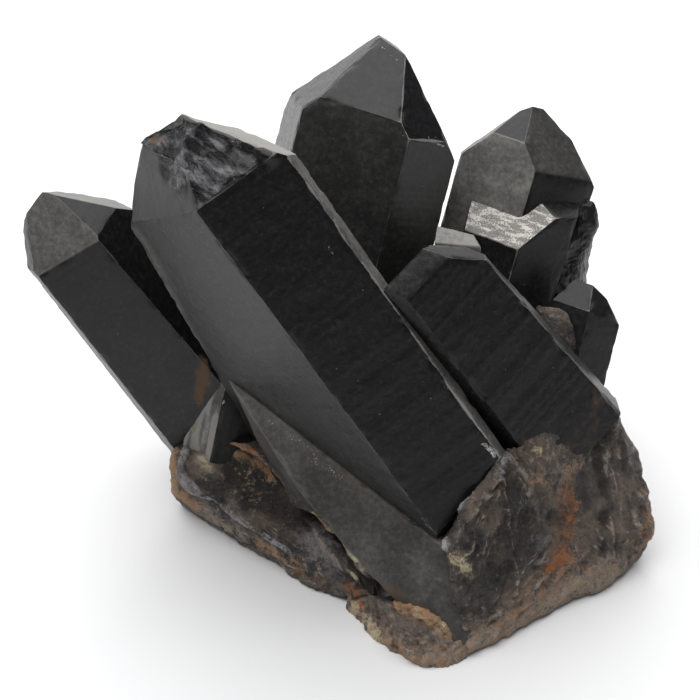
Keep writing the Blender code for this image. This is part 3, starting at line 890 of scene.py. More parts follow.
# Ledges, hollows and stains of the root: path in mm from the frame's origin, radius, height, and its marks.
# The darkening mark is painted shade in the hollows, the groove, the small hole and under the fan's top, and
# the root's own darker tone on the fan and the bulge.
ROOT_FEATURES = {
    "hollow beside the lip": (
        ((-29.0, -9.8, 18.0), (-23.6, -12.2, 18.0), (-13.0, -19.0, 15.9)), 6.0, -4.6, {"dark": 1.15},
    ),
    "light field in the hollow": (
        ((-36.5, -6.0, 19.5), (-33.0, -9.0, 18.0), (-28.5, -13.5, 14.5)),
        2.6, 1.2, {"light": 0.8, "clay": 0.5},
    ),
    "specks in the hollow": (
        ((-28.0, -7.0, 19.0), (-24.0, -14.0, 16.0)),
        3.0, 0.0, {"clay": 0.45, "rust": 0.3},
    ),
    "scoop": (
        ((-9.0, -26.0, 13.0), (-4.0, -31.0, 11.0), (-1.5, -36.5, 7.5)),
        4.6, -0.8, {"glass": 1.0, "light": 0.45},
    ),
    "second scoop": (((-1.0, -30.0, 14.0), (3.0, -34.0, 11.0)), 2.6, -1.0, {"glass": 0.7}),
    # Painted shade in the hollow over the rim
    "hollow over the rim": (((-1.2, -37.0, 7.0), (7.3, -39.7, 7.7)), 3.2, -2.0, {"dark": 1.0}),
    "rim on the left": (
        ((-46.5, -3.0, 18.0), (-46.0, -4.0, 9.0), (-41.0, -10.0, 6.0)),
        3.6, 0.4, {"pale": 1.0, "rust": 0.5},
    ),
    "rim": (((-38.0, -11.5, 7.0), (-28.0, -19.0, 5.0)), 3.4, 0.3, {"light": 0.8, "pale": 0.3}),
    "rim near the scoop": (
        ((-22.0, -22.5, 6.0), (-14.0, -30.0, 5.0), (-8.0, -35.5, 3.5)),
        2.8, 0.3, {"pale": 0.9, "rust": 0.45},
    ),
    "foot crust": (
        ((2.0, -42.0, 2.5), (9.0, -50.0, 1.5), (14.0, -54.0, 2.0), (24.0, -57.0, 1.0)),
        4.0, 0.5, {"pale": 0.6, "light": 0.6, "rust": 0.25},
    ),
    "green crumb": (((2.0, -43.0, 3.0), (8.0, -48.5, 1.5)), 3.2, 0.6, {"clay": 0.85, "light": 0.9}),
    "rust under the rim": (((-1.5, -38.5, 5.0), (4.5, -41.5, 4.5)), 2.6, 0.0, {"rust": 0.72, "pale": 0.4}),
    "clay by the ridge": (((3.4, -35.4, 16.5), (5.0, -37.0, 10.5)), 2.6, 0.3, {"clay": 0.95}),
    "clay on the ridge": (((-9.6, -21.2, 17.6), (-7.8, -23.4, 17.0)), 2.0, 0.3, {"clay": 0.9}),
    "rust on the ridge": (
        ((-29.0, -4.0, 23.6), (-19.5, -10.0, 21.0)), 2.6, 0.3, {"pale": 0.75, "rust": 0.6},
    ),
    "tan on the ridge": (((-19.0, -10.5, 21.0), (-3.4, -28.8, 17.0)), 2.4, 0.2, {"pale": 0.5}),
    "clay in the scoop": (((0.2, -34.6, 9.8), (2.4, -35.8, 8.6)), 1.3, 0.3, {"clay": 1.0}),
    "clay at the corner": (
        ((22.8, -41.2, 24.6), (26.3, -44.9, 22.7), (29.5, -46.0, 19.5)),
        2.2, 0.7, {"clay": 0.85},
    ),
    "clay at the foot": (
        ((17.5, -49.5, 9.2), (21.0, -51.0, 7.5), (24.1, -52.0, 7.4)),
        2.0, 0.4, {"clay": 0.75},
    ),
    "rust streak": (
        ((54.0, -25.0, 29.0), (55.0, -29.5, 21.0), (54.0, -33.0, 15.0)),
        3.6, -0.5, {"rust": 0.66, "pale": 0.3},
    ),
    "bright rust": (((54.5, -34.5, 13.5), (50.5, -37.0, 12.0)), 2.4, -0.4, {"rust": 0.9}),
    "rust wash": (
        ((56.0, -35.0, 11.0), (47.0, -41.0, 8.0), (36.0, -50.0, 4.0)),
        7.0, 0.0, {"rust": 0.4, "pale": 0.4, "light": 0.5},
    ),
    "light foot": (
        ((22.0, -57.0, 1.0), (36.0, -51.0, 4.0), (52.0, -42.0, 4.0), (66.0, -31.0, 4.0)),
        6.0, 0.0, {"light": 0.95, "pale": 0.52},
    ),
    "rust on the right": (
        ((72.0, -24.0, 6.0), (77.0, -20.0, 12.0), (76.0, -14.0, 22.0)),
        5.0, 0.0, {"pale": 0.5, "rust": 0.35},
    ),
    "fan": (
        ((41.0, -33.0, 33.0), (44.5, -36.5, 21.0), (37.0, -42.0, 15.0)),
        6.5, 0.0, {"glass": 0.3, "dark": 0.85},
    ),
    # Painted shade in the small hole
    "small hole": (((50.5, -31.0, 23.9),), 1.0, -2.4, {"dark": 1.2}),
    "first rib": (((31.4, -48.0, 10.4), (42.7, -40.0, 15.0), (49.2, -36.6, 14.3)), 1.2, 0.8, {"light": 0.8}),
    "second rib": (((32.2, -50.5, 7.0), (48.0, -38.9, 11.4)), 1.2, 0.7, {"light": 0.8}),
    "third rib": (((35.2, -51.6, 4.4), (49.4, -41.3, 7.6)), 1.4, 0.7, {"light": 0.8, "pale": 0.4}),
    "ledge under the thickest crystal": (
        (
            (24.0, -42.0, 24.0), (27.5, -39.0, 28.0), (31.0, -35.0, 33.0), (35.0, -31.0, 38.5),
            (38.5, -28.5, 42.0),
        ),
        1.2, 0.5, {"lip": 0.9},
    ),
    "ledge down from the fan's top": (
        ((39.0, -28.0, 41.0), (44.5, -30.0, 34.0), (47.0, -33.0, 25.0)),
        1.1, 0.7, {"light": 0.8},
    ),
    "smooth break": (((46.5, -35.2, 19.9),), 3.4, 0.5, {"glass": 0.9, "light": 0.3}),
    "tan lump": (((43.0, -27.5, 33.5), (48.0, -26.0, 32.0)), 3.4, 1.0, {"pale": 0.8, "light": 0.4}),
    "crumbs under the right crystal": (
        ((44.5, -28.2, 39.8), (46.1, -25.7, 40.9), (49.8, -25.0, 38.6)),
        1.8, 0.4, {"clay": 0.75},
    ),
    "second tan lump": (((52.0, -26.0, 31.0), (57.0, -22.4, 33.6)), 3.6, 0.8, {"pale": 0.55, "light": 0.5}),
    # Painted shade in the groove by the right crystal
    "groove by the right crystal": (
        ((63.0, -17.0, 36.0), (65.1, -22.3, 21.1), (63.0, -28.0, 12.0)), 2.0, -1.6, {"dark": 0.9},
    ),
    # Painted shade in the shallow hollow at the upper right and under the fan's top
    "dark upper right": (((58.0, -22.0, 26.0), (62.0, -20.0, 32.0)), 4.0, -0.4, {"dark": 0.7}),
    "dark under the fan's top": (((40.0, -31.0, 33.0),), 3.0, -0.4, {"dark": 0.8}),
    "bulge on the right": (((74.5, -19.8, 18.7), (75.1, -23.6, 9.0)), 8.0, 1.2, {"dark": 0.55}),
}


def hull_planes(corners):
    """Normals and distances of the hull's faces: the planes through three corners with all others behind."""
    triples = np.array(list(itertools.combinations(range(len(corners)), 3)))
    first, second, third = (corners[triples[:, number]] for number in range(3))
    normals = np.cross(second - first, third - first)
    area = np.linalg.norm(normals, axis=1)
    keep = area > 1e-3
    normals = normals[keep] / area[keep, None]
    distances = (normals * first[keep]).sum(axis=1)
    height = corners @ normals.T - distances
    below = (height < 1e-4).all(axis=0)
    above = (height > -1e-4).all(axis=0)
    return (
        np.concatenate((normals[below], -normals[above])),
        np.concatenate((distances[below], -distances[above])),
    )


def blur(values, reach):
    """Each value's mean over a square of the grid, round its columns and held at its first and last rows."""
    steps = range(-reach, reach + 1)
    across = sum(np.roll(values, step, axis=1) for step in steps) / len(steps)
    rows = np.arange(len(values))
    return sum(across[np.clip(rows + step, 0, len(rows) - 1)] for step in steps) / len(steps)


def lump_grid(spec, roundness):
    """P(a, b) = middle + r(a, b) d(a, b): d runs over a sphere stretched along the lump's own directions,
    and r is the distance to the hull, softened by r = (sum of r_i^-p)^(-1/p) over its planes."""
    corners = np.array(spec["corners"], dtype=float) + SHIFT
    middle = corners.mean(axis=0)
    _, _, ways = np.linalg.svd(corners - middle)
    ways[2] = ways[2] * np.sign(np.linalg.det(ways))
    reach = np.abs((corners - middle) @ ways.T).max(axis=0)
    rows, columns = spec["grid"]
    tilt = np.linspace(POLE_GAP, math.pi - POLE_GAP, rows)[:, None]
    turn = np.linspace(0.0, 2.0 * math.pi, columns, endpoint=False)[None, :]
    ball = np.stack(
        np.broadcast_arrays(np.cos(tilt), np.sin(tilt) * np.cos(turn), np.sin(tilt) * np.sin(turn)), axis=-1
    )
    way = (ball * reach) @ ways
    normals, distances = hull_planes(corners)
    ahead = way @ normals.T
    out = np.where(ahead > 1e-6, (distances - normals @ middle) / np.maximum(ahead, 1e-6), 1e6)
    nearest = out.min(axis=-1, keepdims=True)
    soft = nearest[..., 0] * ((nearest / out) ** roundness).sum(axis=-1) ** (-1.0 / roundness)
    return middle + way * soft[..., None]


def rope_grid(spec):
    """P(s, a) = C(s) + R(s) (cos a side + sin a up): C runs through the path's points, rounded by a running
    mean, and R through its radii, falling as the fourth root of 1 - x^8 to both ends."""
    path = np.array(spec["path"], dtype=float)
    rows, columns = spec["grid"]
    mark = np.concatenate(((0.0,), np.cumsum(np.linalg.norm(np.diff(path, axis=0), axis=1))))
    length = np.linspace(0.0, mark[-1], rows)
    middle = np.stack([np.interp(length, mark, path[:, number]) for number in range(3)], axis=-1)
    radius = np.interp(length, mark, np.array(spec["radii"], dtype=float))
    reach = rows // ROPE_EASE
    window = np.ones(2 * reach + 1) / (2 * reach + 1)
    for _ in range(2):
        held = np.pad(np.column_stack((middle, radius)), ((reach, reach), (0, 0)), mode="edge")
        eased = np.stack([np.convolve(track, window, mode="valid") for track in held.T], axis=-1)
        middle, radius = eased[:, :3], eased[:, 3]
    end = np.abs(2.0 * length / mark[-1] - 1.0)
    radius = radius * np.maximum(1.0 - end**8, 1e-3) ** 0.25
    way = np.gradient(middle, axis=0)
    side = np.cross(way, np.array((0.0, 0.0, 1.0)))
    side = side / np.linalg.norm(side, axis=-1, keepdims=True)
    up = np.cross(side, way)
    up = up / np.linalg.norm(up, axis=-1, keepdims=True)
    turn = np.linspace(0.0, 2.0 * math.pi, columns, endpoint=False)[None, :, None]
    around = np.cos(turn) * side[:, None] + np.sin(turn) * up[:, None]
    return middle[:, None] + radius[:, None, None] * around


def seated(grid):
    """Heights near the floor drawn down to it: z becomes z - drop (1 - smooth(z / reach)), or 0 if that is
    below it."""
    height = grid[..., 2]
    grid[..., 2] = np.maximum(height - FLOOR_DROP * (1.0 - smooth(0.0, FLOOR_REACH, height)), 0.0)
    return grid


def fan_ribs(points):
    """The fan's own coordinates, (angle about its apex, 0, distance from it), and its ribs: the sharp ridges
    (1 - |noise|)^4 of those coordinates in two sizes."""
    away = points - np.array(FAN_APEX)
    spread = np.arctan2(away @ np.array(FAN_ACROSS), away @ np.array(FAN_DOWN))
    length = np.linalg.norm(away, axis=-1)
    track = np.stack((spread * FAN_RIBS, np.zeros_like(spread), length * FAN_DRIFT), axis=-1)
    wide, fine = ((1.0 - np.abs(noise(track * part, 1.0, seed))) ** 4 for part, seed in FAN_SIZES)
    return track, wide + 0.4 * fine


def break_lump(name, spec, sizes):
    """One lump or rope of the root, P + n h: n is the grid's normal, and h is three sizes of scooped breaks,
    fine ridges, the heights of the root's features, the fan's ribs and the lines of the streaked places."""
    seed = spec["seed"]
    grid = rope_grid(spec) if "path" in spec else lump_grid(spec, spec.get("roundness", ROUNDNESS))
    outward = grid_normals(grid)
    if ((grid - grid.mean(axis=(0, 1))) * outward).sum() < 0.0:
        outward = -outward
    rough = spec["rough"] * sizes.break_depth / MM
    relief = rough * sum(
        share * (scoops(stretched(grid, way, draw), size, seed + 20 * number) - 0.1)
        for number, (size, way, draw, share) in enumerate(ROOT_BREAKS)
    )
    relief = relief + 0.2 * rough * ridged(grid, RIDGE_SIZE, seed + 50, 2)
    marks = {label: np.full(grid.shape[:2], spec.get("marks", {}).get(label, 0.0)) for label in MARKS}
    ragged = frayed(grid, 1.8, 4.0, seed + 60, 7, 3)
    for path, radius, height, amounts in ROOT_FEATURES.values():
        here = stroke(ragged, path, radius)
        relief = relief + height * here
        for label, amount in amounts.items():
            marks[label] = np.maximum(marks[label], amount * here)
    track, ribs = fan_ribs(ragged)
    fan = strokes(grid, FAN_AREA)
    relief = relief + (1.5 * ribs - 0.9) * fan
    streak = 1.6 * (ribs - 0.45) * fan
    flow = stretched(ragged, USUAL_FLOW, 3.0)
    flow = flow + fan[..., None] * (track * np.array((2.5, 1.0, 3.0)) - flow)
    for number, (path, radius, way, size, depth) in enumerate(FLOWS.values()):
        drawn = stretched(grid, way, FLOW_DRAW)
        fine = noise(drawn, size * 0.5, FLOW_SEED + 50 + number)
        lines = noise(drawn, size, FLOW_SEED + number) + 0.6 * fine
        here = stroke(grid, path, radius)
        relief = relief + depth * here * lines
        streak = streak + here * lines
        flow = flow + here[..., None] * (drawn - flow)
    marks["streak"] = streak
    for number, label in enumerate(("flow_x", "flow_y", "flow_z")):
        marks[label] = flow[..., number]
    low = smooth(-0.4, FLOOR_REACH, grid[..., 2])
    push = outward * relief[..., None]
    push[..., 2] = push[..., 2] * low
    grid = seated(grid + push)
    # cavity: how far the relief stands above or below its blurred self; the material paints shade into its
    # hollows and highlight onto its ridges from it
    cavity = np.clip((relief - blur(relief, 3)) / (0.22 * rough), -2.0, 2.0)
    top = smooth(grid[..., 2].max() - 7.0, grid[..., 2].max() - 3.0, grid[..., 2])
    values = {"film": spec.get("film", 0.0) * (0.1 + 0.9 * top), "cavity": cavity, **marks}
    return make_mesh(name, grid, values, LUMP_SHARP)


def grow_wedge(name, spec, sizes):
    """The smooth body beside the thickest crystal, P + n h: n is the blended normal of its hull, and h is
    low hills, less nicks that fall off as exp(-(e / w)^2) from an edge, plus scooped crust on one edge."""
    seed = spec["seed"]
    normals, distances = hull_planes(np.array(spec["corners"], dtype=float) + SHIFT)
    grid = lump_grid(spec, spec["roundness"])
    slack = distances - grid @ normals.T
    drawn, reach, shift = WEDGE_DRAWN_IN
    grid = grid + stroke(grid, drawn, reach)[..., None] * np.array(shift)
    _, _, edge = edge_facts(normals, slack)
    outward = blend_normals(normals, slack)
    relief = sizes.hillock / MM * (2.5 * fractal(grid, 9.0, seed, 3) + 0.5 * noise(grid, 1.5, seed + 1))
    nick = 0.3 + smooth(0.0, 0.7, noise(grid, 2.5, seed + 2))
    relief = relief - np.exp(-((edge / 0.8) ** 2)) * sizes.edge_chip / MM * nick
    crust = 0.8 * scoops(grid, 5.0, seed + 4) + 0.4 * scoops(grid, 1.8, seed + 5) - 0.3
    relief = relief + stroke(grid, WEDGE_CRUST, 2.6) * crust
    grid = seated(grid + outward * relief[..., None])
    ragged = frayed(grid, 1.5, 4.0, seed + 10, 7, 3)
    values = {
        "along": grid @ np.array(WEDGE_WAY),
        "edge": edge,
        "worn": 0.25 + 0.5 * strokes(grid, WEDGE_WORN),
        "film": 0.29 + 0.2 * smooth(28.0, 42.0, grid[..., 2]) + 0.08 * fractal(grid, 6.0, seed + 6, 4),
        "broken": np.zeros(edge.shape),
        "chip": strokes(ragged, WEDGE_CHIPS),
        "stain": strokes(ragged, WEDGE_STAINS),
    }
    return make_mesh(name, grid, values, WEDGE_SHARP)


# Shader parts


def add_node(tree, kind, inputs=None, **settings):
    """A node with its settings, and with its inputs linked from sockets or set to values."""
    node = tree.nodes.new(kind)
    for key, value in settings.items():
        setattr(node, key, value)
    for key, value in (inputs or {}).items():
        if isinstance(value, bpy.types.NodeSocket):
            tree.links.new(value, node.inputs[key])
        else:
            node.inputs[key].default_value = value
    return node


def attribute(tree, label):
    """A named value of the piece's points."""
    return add_node(tree, "ShaderNodeAttribute", attribute_name=label).outputs["Fac"]


def math_node(tree, operation, *terms, clamp=False):
    """One arithmetic step: each term is a socket or a number."""
    inputs = dict(enumerate(terms))
    return add_node(tree, "ShaderNodeMath", inputs, operation=operation, use_clamp=clamp).outputs[0]


def plus(tree, first, second):
    """first + second."""
    return math_node(tree, "ADD", first, second)


def times(tree, first, second):
    """first * second."""
    return math_node(tree, "MULTIPLY", first, second)


def times_plus(tree, first, second, third, clamp=False):
    """first * second + third, held from 0 to 1 where it is clamped."""
    return math_node(tree, "MULTIPLY_ADD", first, second, third, clamp=clamp)


def ramp(tree, value, low, high, start=0.0, end=1.0):
    """A smooth step of a value from start at low to end at high."""
    inputs = {"Value": value, "From Min": low, "From Max": high, "To Min": start, "To Max": end}
    return add_node(tree, "ShaderNodeMapRange", inputs, interpolation_type="SMOOTHSTEP").outputs["Result"]


def mix_colour(tree, amount, first, second):
    """The first colour turned to the second by an amount."""
    node = add_node(tree, "ShaderNodeMix", {"Factor": amount}, data_type="RGBA")
    for key, colour in (("A", first), ("B", second)):
        socket = [entry for entry in node.inputs if entry.name == key and entry.type == "RGBA"][0]
        if isinstance(colour, bpy.types.NodeSocket):
            tree.links.new(colour, socket)
        else:
            socket.default_value = (*colour[:3], 1.0)
    return [entry for entry in node.outputs if entry.type == "RGBA"][0]


def noise_node(tree, vector, scale, detail=4.0, roughness=0.55):
    """Noise on a vector, in features per metre."""
    inputs = {"Vector": vector, "Scale": scale, "Detail": detail, "Roughness": roughness}
    return add_node(tree, "ShaderNodeTexNoise", inputs, noise_dimensions="3D").outputs["Fac"]


def vector_node(tree, operation, inputs):
    """A vector's arithmetic step."""
    return add_node(tree, "ShaderNodeVectorMath", inputs, operation=operation).outputs


def drawn_out(tree, vector, way, factor):
    """A vector squeezed along a way w, v - w (v.w)(1 - 1/factor), which draws a pattern out along it."""
    reach = vector_node(tree, "DOT_PRODUCT", {0: vector, 1: way})["Value"]
    shrink = vector_node(tree, "SCALE", {0: way, "Scale": times(tree, reach, 1.0 - 1.0 / factor)})[0]
    return vector_node(tree, "SUBTRACT", {0: vector, 1: shrink})[0]


def place_group(tree, group, **inputs):
    """A group in a material's tree: each keyword is a socket to link or a number to set."""
    return add_node(tree, "ShaderNodeGroup", inputs, node_tree=group).outputs


def new_group(name, inputs, outputs):
    """A shader node group: its inputs by name, vectors where they have no value, and its number outputs."""
    group = bpy.data.node_groups.new(name, "ShaderNodeTree")
    for label, value in inputs.items():
        kind = "NodeSocketVector" if value is None else "NodeSocketFloat"
        socket = group.interface.new_socket(name=label, in_out="INPUT", socket_type=kind)
        if value is not None:
            socket.default_value = value
    for label in outputs:
        group.interface.new_socket(name=label, in_out="OUTPUT", socket_type="NodeSocketFloat")
    entry = group.nodes.new("NodeGroupInput")
    leave = group.nodes.new("NodeGroupOutput")
    return group, entry.outputs, leave.inputs


def dust_group():
    """Bright dust grains, each a dot in its own cell, and a thin uneven film."""
    group, given, made = new_group(
        "Dust grains", {"Vector": None, "Cells": 400.0, "Share": 0.1}, ("Grains", "Film")
    )
    inputs = {"Vector": given["Vector"], "Scale": given["Cells"]}
    cells = add_node(group, "ShaderNodeTexVoronoi", inputs, feature="F1").outputs
    pick = add_node(group, "ShaderNodeSeparateColor", {"Color": cells["Color"]}).outputs
    chosen = math_node(group, "LESS_THAN", pick["Red"], given["Share"])
    size = ramp(group, pick["Green"], 0.3, 1.0, 0.03, 0.16)
    ragged = noise_node(group, given["Vector"], 4000.0, 2.0)
    reach = times_plus(group, ragged, 0.25, cells["Distance"])
    dot = math_node(group, "LESS_THAN", reach, plus(group, size, 0.1))
    group.links.new(times(group, chosen, dot), made["Grains"])
    cloud = noise_node(group, given["Vector"], 90.0, 6.0, 0.65)
    group.links.new(ramp(group, cloud, 0.35, 0.75), made["Film"])
    return group


def wear_group():
    """A broken light line along edges, from the distance to the nearest edge in mm."""
    group, given, made = new_group("Edge wear", {"Vector": None, "Edge": 1.0, "Width": 0.3}, ("Mask",))
    wide = noise_node(group, given["Vector"], 160.0, 3.0)
    fine = noise_node(group, given["Vector"], 1600.0, 3.0)
    reach = times(group, given["Width"], ramp(group, wide, 0.35, 0.7, 0.1, 1.6))
    ragged = times_plus(group, fine, 0.3, given["Edge"])
    ratio = math_node(group, "DIVIDE", math_node(group, "SUBTRACT", ragged, 0.15), reach)
    group.links.new(ramp(group, ratio, 0.4, 1.0, 1.0, 0.0), made["Mask"])
    return group


def striation_group():
    """Fine growth lines across the crystal: noise drawn out around it and tight along it."""
    group, given, made = new_group("Growth lines", {"Vector": None, "Along": 0.0}, ("Height",))
    wide = vector_node(group, "SCALE", {0: given["Vector"], "Scale": 60.0})[0]
    split = add_node(group, "ShaderNodeSeparateXYZ", {0: wide}).outputs
    parts = {"X": split["X"], "Y": split["Y"], "Z": times(group, given["Along"], 2.2)}
    join = add_node(group, "ShaderNodeCombineXYZ", parts).outputs[0]
    group.links.new(noise_node(group, join, 1.0, 5.0, 0.6), made["Height"])
    return group


def shared_groups():
    """The shader groups that the materials place, made once."""
    makers = {"Dust grains": dust_group, "Edge wear": wear_group, "Growth lines": striation_group}
    return {name: bpy.data.node_groups.get(name) or make() for name, make in makers.items()}


# Depth of each material's bumps in metres, and how strongly the quartz mirrors
QUARTZ_BUMP = 0.00010
ROOT_BUMP = 0.0013
QUARTZ_MIRROR = 0.31

# Roughness of the floor
FLOOR_ROUGHNESS = 0.55


def start_material(name):
    """A material with its tree, its shader and its Object coordinates."""
    material = bpy.data.materials.new(name)
    material.use_nodes = True
    tree = material.node_tree
    shader = tree.nodes["Principled BSDF"]
    where = tree.nodes.new("ShaderNodeTexCoord").outputs["Object"]
    return material, tree, shader, where


def set_bump(tree, shader, height, distance, strength):
    """A Bump node on the shader's Normal."""
    bump = add_node(tree, "ShaderNodeBump", {"Height": height, "Distance": distance, "Strength": strength})
    tree.links.new(bump.outputs["Normal"], shader.inputs["Normal"])


def morion_material(groups, finish):
    """Near-black glassy quartz: dusty films by face, light worn edges, white chips that also paint glints on
    the broken tip and sheen on the shelf, grey broken shreds that are partly painted sheen, brown stain and
    dust.
    """
    made = bpy.data.materials.get("dusty morion")
    if made:
        return made
    material, tree, shader, where = start_material("dusty morion")
    dust = place_group(tree, groups["Dust grains"], Vector=where, Cells=1000.0, Share=0.05)
    mottle = noise_node(tree, where, 800.0, 6.0, 0.7)
    haze = times(tree, attribute(tree, "film"), ramp(tree, dust["Film"], 0.0, 1.0, 0.75, 1.15))
    haze = times(tree, haze, ramp(tree, mottle, 0.3, 0.7, 0.72, 1.28))
    haze = plus(tree, haze, ramp(tree, mottle, 0.48, 0.75, 0.0, 0.06))
    colour = mix_colour(tree, haze, finish.morion, finish.film)
    broken = attribute(tree, "broken")
    # Grey shreds on the broken faces: broken quartz's grey, and partly a painted sheen of its hackle facets
    shreds = noise_node(tree, drawn_out(tree, where, HACKLE_WAY, HACKLE_DRAW), 420.0, 7.0, 0.62)
    shred_sheen = times(tree, broken, ramp(tree, shreds, 0.46, 0.66))
    colour = mix_colour(tree, shred_sheen, colour, finish.break_grey_and_sheen)
    cloud = noise_node(tree, where, 350.0, 6.0)
    patch = ramp(tree, plus(tree, attribute(tree, "stain"), cloud), 0.85, 1.5)
    colour = mix_colour(tree, times(tree, patch, 0.85), colour, finish.stain)
    worn = attribute(tree, "worn")
    edge = attribute(tree, "edge")
    wear = place_group(tree, groups["Edge wear"], Vector=where, Edge=edge, Width=times(tree, worn, 0.5))
    line = times(tree, wear["Mask"], worn)
    colour = mix_colour(tree, line, colour, finish.worn_edge)
    # White chips, which on the broken tip are painted glints and on the stepped crystal's shelf a painted
    # sheen
    grit = noise_node(tree, where, 2600.0, 6.0, 0.8)
    chip = ramp(tree, times_plus(tree, attribute(tree, "chip"), 0.8, grit), 0.97, 1.07)
    colour = mix_colour(tree, chip, colour, finish.chip)
    colour = mix_colour(tree, times(tree, dust["Grains"], 0.4), colour, finish.dust)
    tree.links.new(colour, shader.inputs["Base Color"])

    lines = place_group(tree, groups["Growth lines"], Vector=where, Along=attribute(tree, "along"))["Height"]
    rough = ramp(tree, mottle, 0.3, 0.7, 0.26, 0.36)
    rough = times_plus(tree, haze, 0.3, rough)
    rough = times_plus(tree, broken, -0.16, rough)
    cover = math_node(tree, "MAXIMUM", math_node(tree, "MAXIMUM", chip, dust["Grains"]), patch)
    rough = times_plus(tree, cover, 0.35, rough, clamp=True)
    tree.links.new(rough, shader.inputs["Roughness"])
    height = times_plus(tree, lines, 0.2, mottle)
    height = times_plus(tree, times(tree, broken, shreds), 12.0, height)
    height = times_plus(tree, chip, 1.5, height)
    set_bump(tree, shader, height, QUARTZ_BUMP, 0.8)
    shader.inputs["Specular IOR Level"].default_value = QUARTZ_MIRROR
    return material


def root_material(groups, finish):
    """Broken stained quartz: grey-brown with light streaks, worn ridges with painted highlight, painted
    shade in its hollows, groove, hole and under the fan's top, rust, tan crust, clay and glass.
    """
    material, tree, shader, where = start_material("stained_quartz")
    wide = noise_node(tree, where, 110.0, 6.0, 0.6)
    fine = noise_node(tree, where, 420.0, 8.0, 0.72)
    grit = noise_node(tree, where, 1700.0, 6.0, 0.75)
    parts = {label.upper(): attribute(tree, "flow_" + label) for label in "xyz"}
    flow = add_node(tree, "ShaderNodeCombineXYZ", parts).outputs[0]
    lines = noise_node(tree, flow, 0.75, 7.0, 0.68)
    cavity = attribute(tree, "cavity")
    spread = times_plus(tree, grit, 1.1, times_plus(tree, fine, 2.2, -1.15))
    colour = mix_colour(tree, ramp(tree, wide, 0.38, 0.62), finish.root_dark_and_shade, finish.root_brown)

    def layer(colour, value, low, high, tone, amount=1.0):
        """The tone over the colour where the value and the fine noise together pass from low to high."""
        cover = ramp(tree, plus(tree, value, spread), low, high, 0.0, amount)
        return mix_colour(tree, cover, colour, tone), cover

    colour, glass = layer(colour, attribute(tree, "glass"), 0.7, 1.3, finish.root_grey)
    colour, _ = layer(colour, attribute(tree, "light"), 0.65, 1.5, finish.worn_root_and_highlight, 0.9)
    # Painted shade: the root's darkest colour laid into its hollows, groove, hole and under the fan's top,
    # and on its own darker patches
    colour, _ = layer(colour, attribute(tree, "dark"), 0.7, 1.3, finish.root_dark_and_shade, 0.9)
    streak = times_plus(tree, attribute(tree, "streak"), 0.35, -1.6)
    streak = times_plus(tree, lines, 3.2, streak)
    streak = times_plus(tree, spread, 0.35, streak)
    colour = mix_colour(tree, ramp(tree, streak, 0.35, 0.95, 0.0, 0.85), colour, finish.root_light)
    shade = times_plus(tree, spread, 0.3, times_plus(tree, lines, -4.0, 2.0))
    colour = mix_colour(tree, ramp(tree, shade, 0.35, 0.85, 0.0, 0.75), colour, finish.root_dark_and_shade)
    # Painted shade: the relief's hollows turn towards the settled dirt colour. Painted highlight: its ridges
    # turn towards the worn root colour.
    colour, _ = layer(colour, times(tree, cavity, -0.35), 0.75, 1.4, finish.settled_dirt_and_shade, 0.7)
    colour, _ = layer(colour, times(tree, cavity, 0.4), 0.85, 1.4, finish.worn_root_and_highlight, 0.8)
    colour, pale = layer(colour, attribute(tree, "pale"), 0.75, 1.5, finish.pale)
    colour, _ = layer(colour, attribute(tree, "rust"), 0.8, 1.5, finish.rust)
    colour, clay = layer(colour, attribute(tree, "clay"), 0.95, 1.35, finish.clay)
    colour, lip = layer(colour, attribute(tree, "lip"), 0.75, 1.4, finish.lip, 0.8)
    colour = mix_colour(tree, ramp(tree, grit, 0.34, 0.5, 0.5, 0.0), colour, finish.root_dark_and_shade)
    dust = place_group(tree, groups["Dust grains"], Vector=where, Cells=900.0, Share=0.09)
    colour = mix_colour(tree, times(tree, dust["Grains"], 0.7), colour, finish.dust)
    tree.links.new(colour, shader.inputs["Base Color"])
    rough = ramp(tree, fine, 0.35, 0.65, 0.2, 0.55)
    rough = times_plus(tree, math_node(tree, "MAXIMUM", glass, lip), -0.14, rough)
    rough = times_plus(tree, math_node(tree, "MAXIMUM", pale, clay), 0.25, rough, clamp=True)
    tree.links.new(rough, shader.inputs["Roughness"])
    bumps = times_plus(tree, grit, 0.5, fine)
    bumps = times_plus(tree, lines, 0.6, bumps)
    set_bump(tree, shader, bumps, ROOT_BUMP, 1.0)
    return material


def floor_material(stage):
    """Plain pale matt floor."""
    material, tree, shader, where = start_material("pale_floor")
    tone = ramp(tree, noise_node(tree, where, 3.0, 2.0), 0.3, 0.7, 0.0, 1.0)
    colour = mix_colour(tree, tone, stage.floor, [part * 0.985 for part in stage.floor])
    tree.links.new(colour, shader.inputs["Base Color"])
    shader.inputs["Roughness"].default_value = FLOOR_ROUGHNESS
    return material


# Settings that a user would change


def number_property(name, description, value, unit="LENGTH", least=0.0):
    """A number from a least value up, shown with more places where it is a length."""
    places = 5 if unit == "LENGTH" else 2
    return bpy.props.FloatProperty(
        name=name, description=description, default=value, min=least, unit=unit, precision=places
    )


def colour_property(name, description, colour):
    """A colour as three numbers."""
    return bpy.props.FloatVectorProperty(
        name=name, description=description, subtype="COLOR", size=3, min=0.0, max=1.0, default=colour
    )


class ClusterSizes(bpy.types.PropertyGroup):
    """Sizes of the surface detail"""

    grid_step: number_property("Grid step", "Spacing of a crystal's surface points", 0.0005, least=0.0002)
    growth_step: number_property("Growth steps", "Depth of the growth steps across the sides", 0.00006)
    hillock: number_property("Growth hills", "Height of the low hills on the faces", 0.00008)
    edge_wear: number_property("Edge wear", "How far edges are worn back", 0.00012)
    edge_chip: number_property("Edge chips", "Depth of the nicks along edges", 0.0005)
    break_depth: number_property("Break depth", "Height of the broken surfaces' relief", 0.0012)


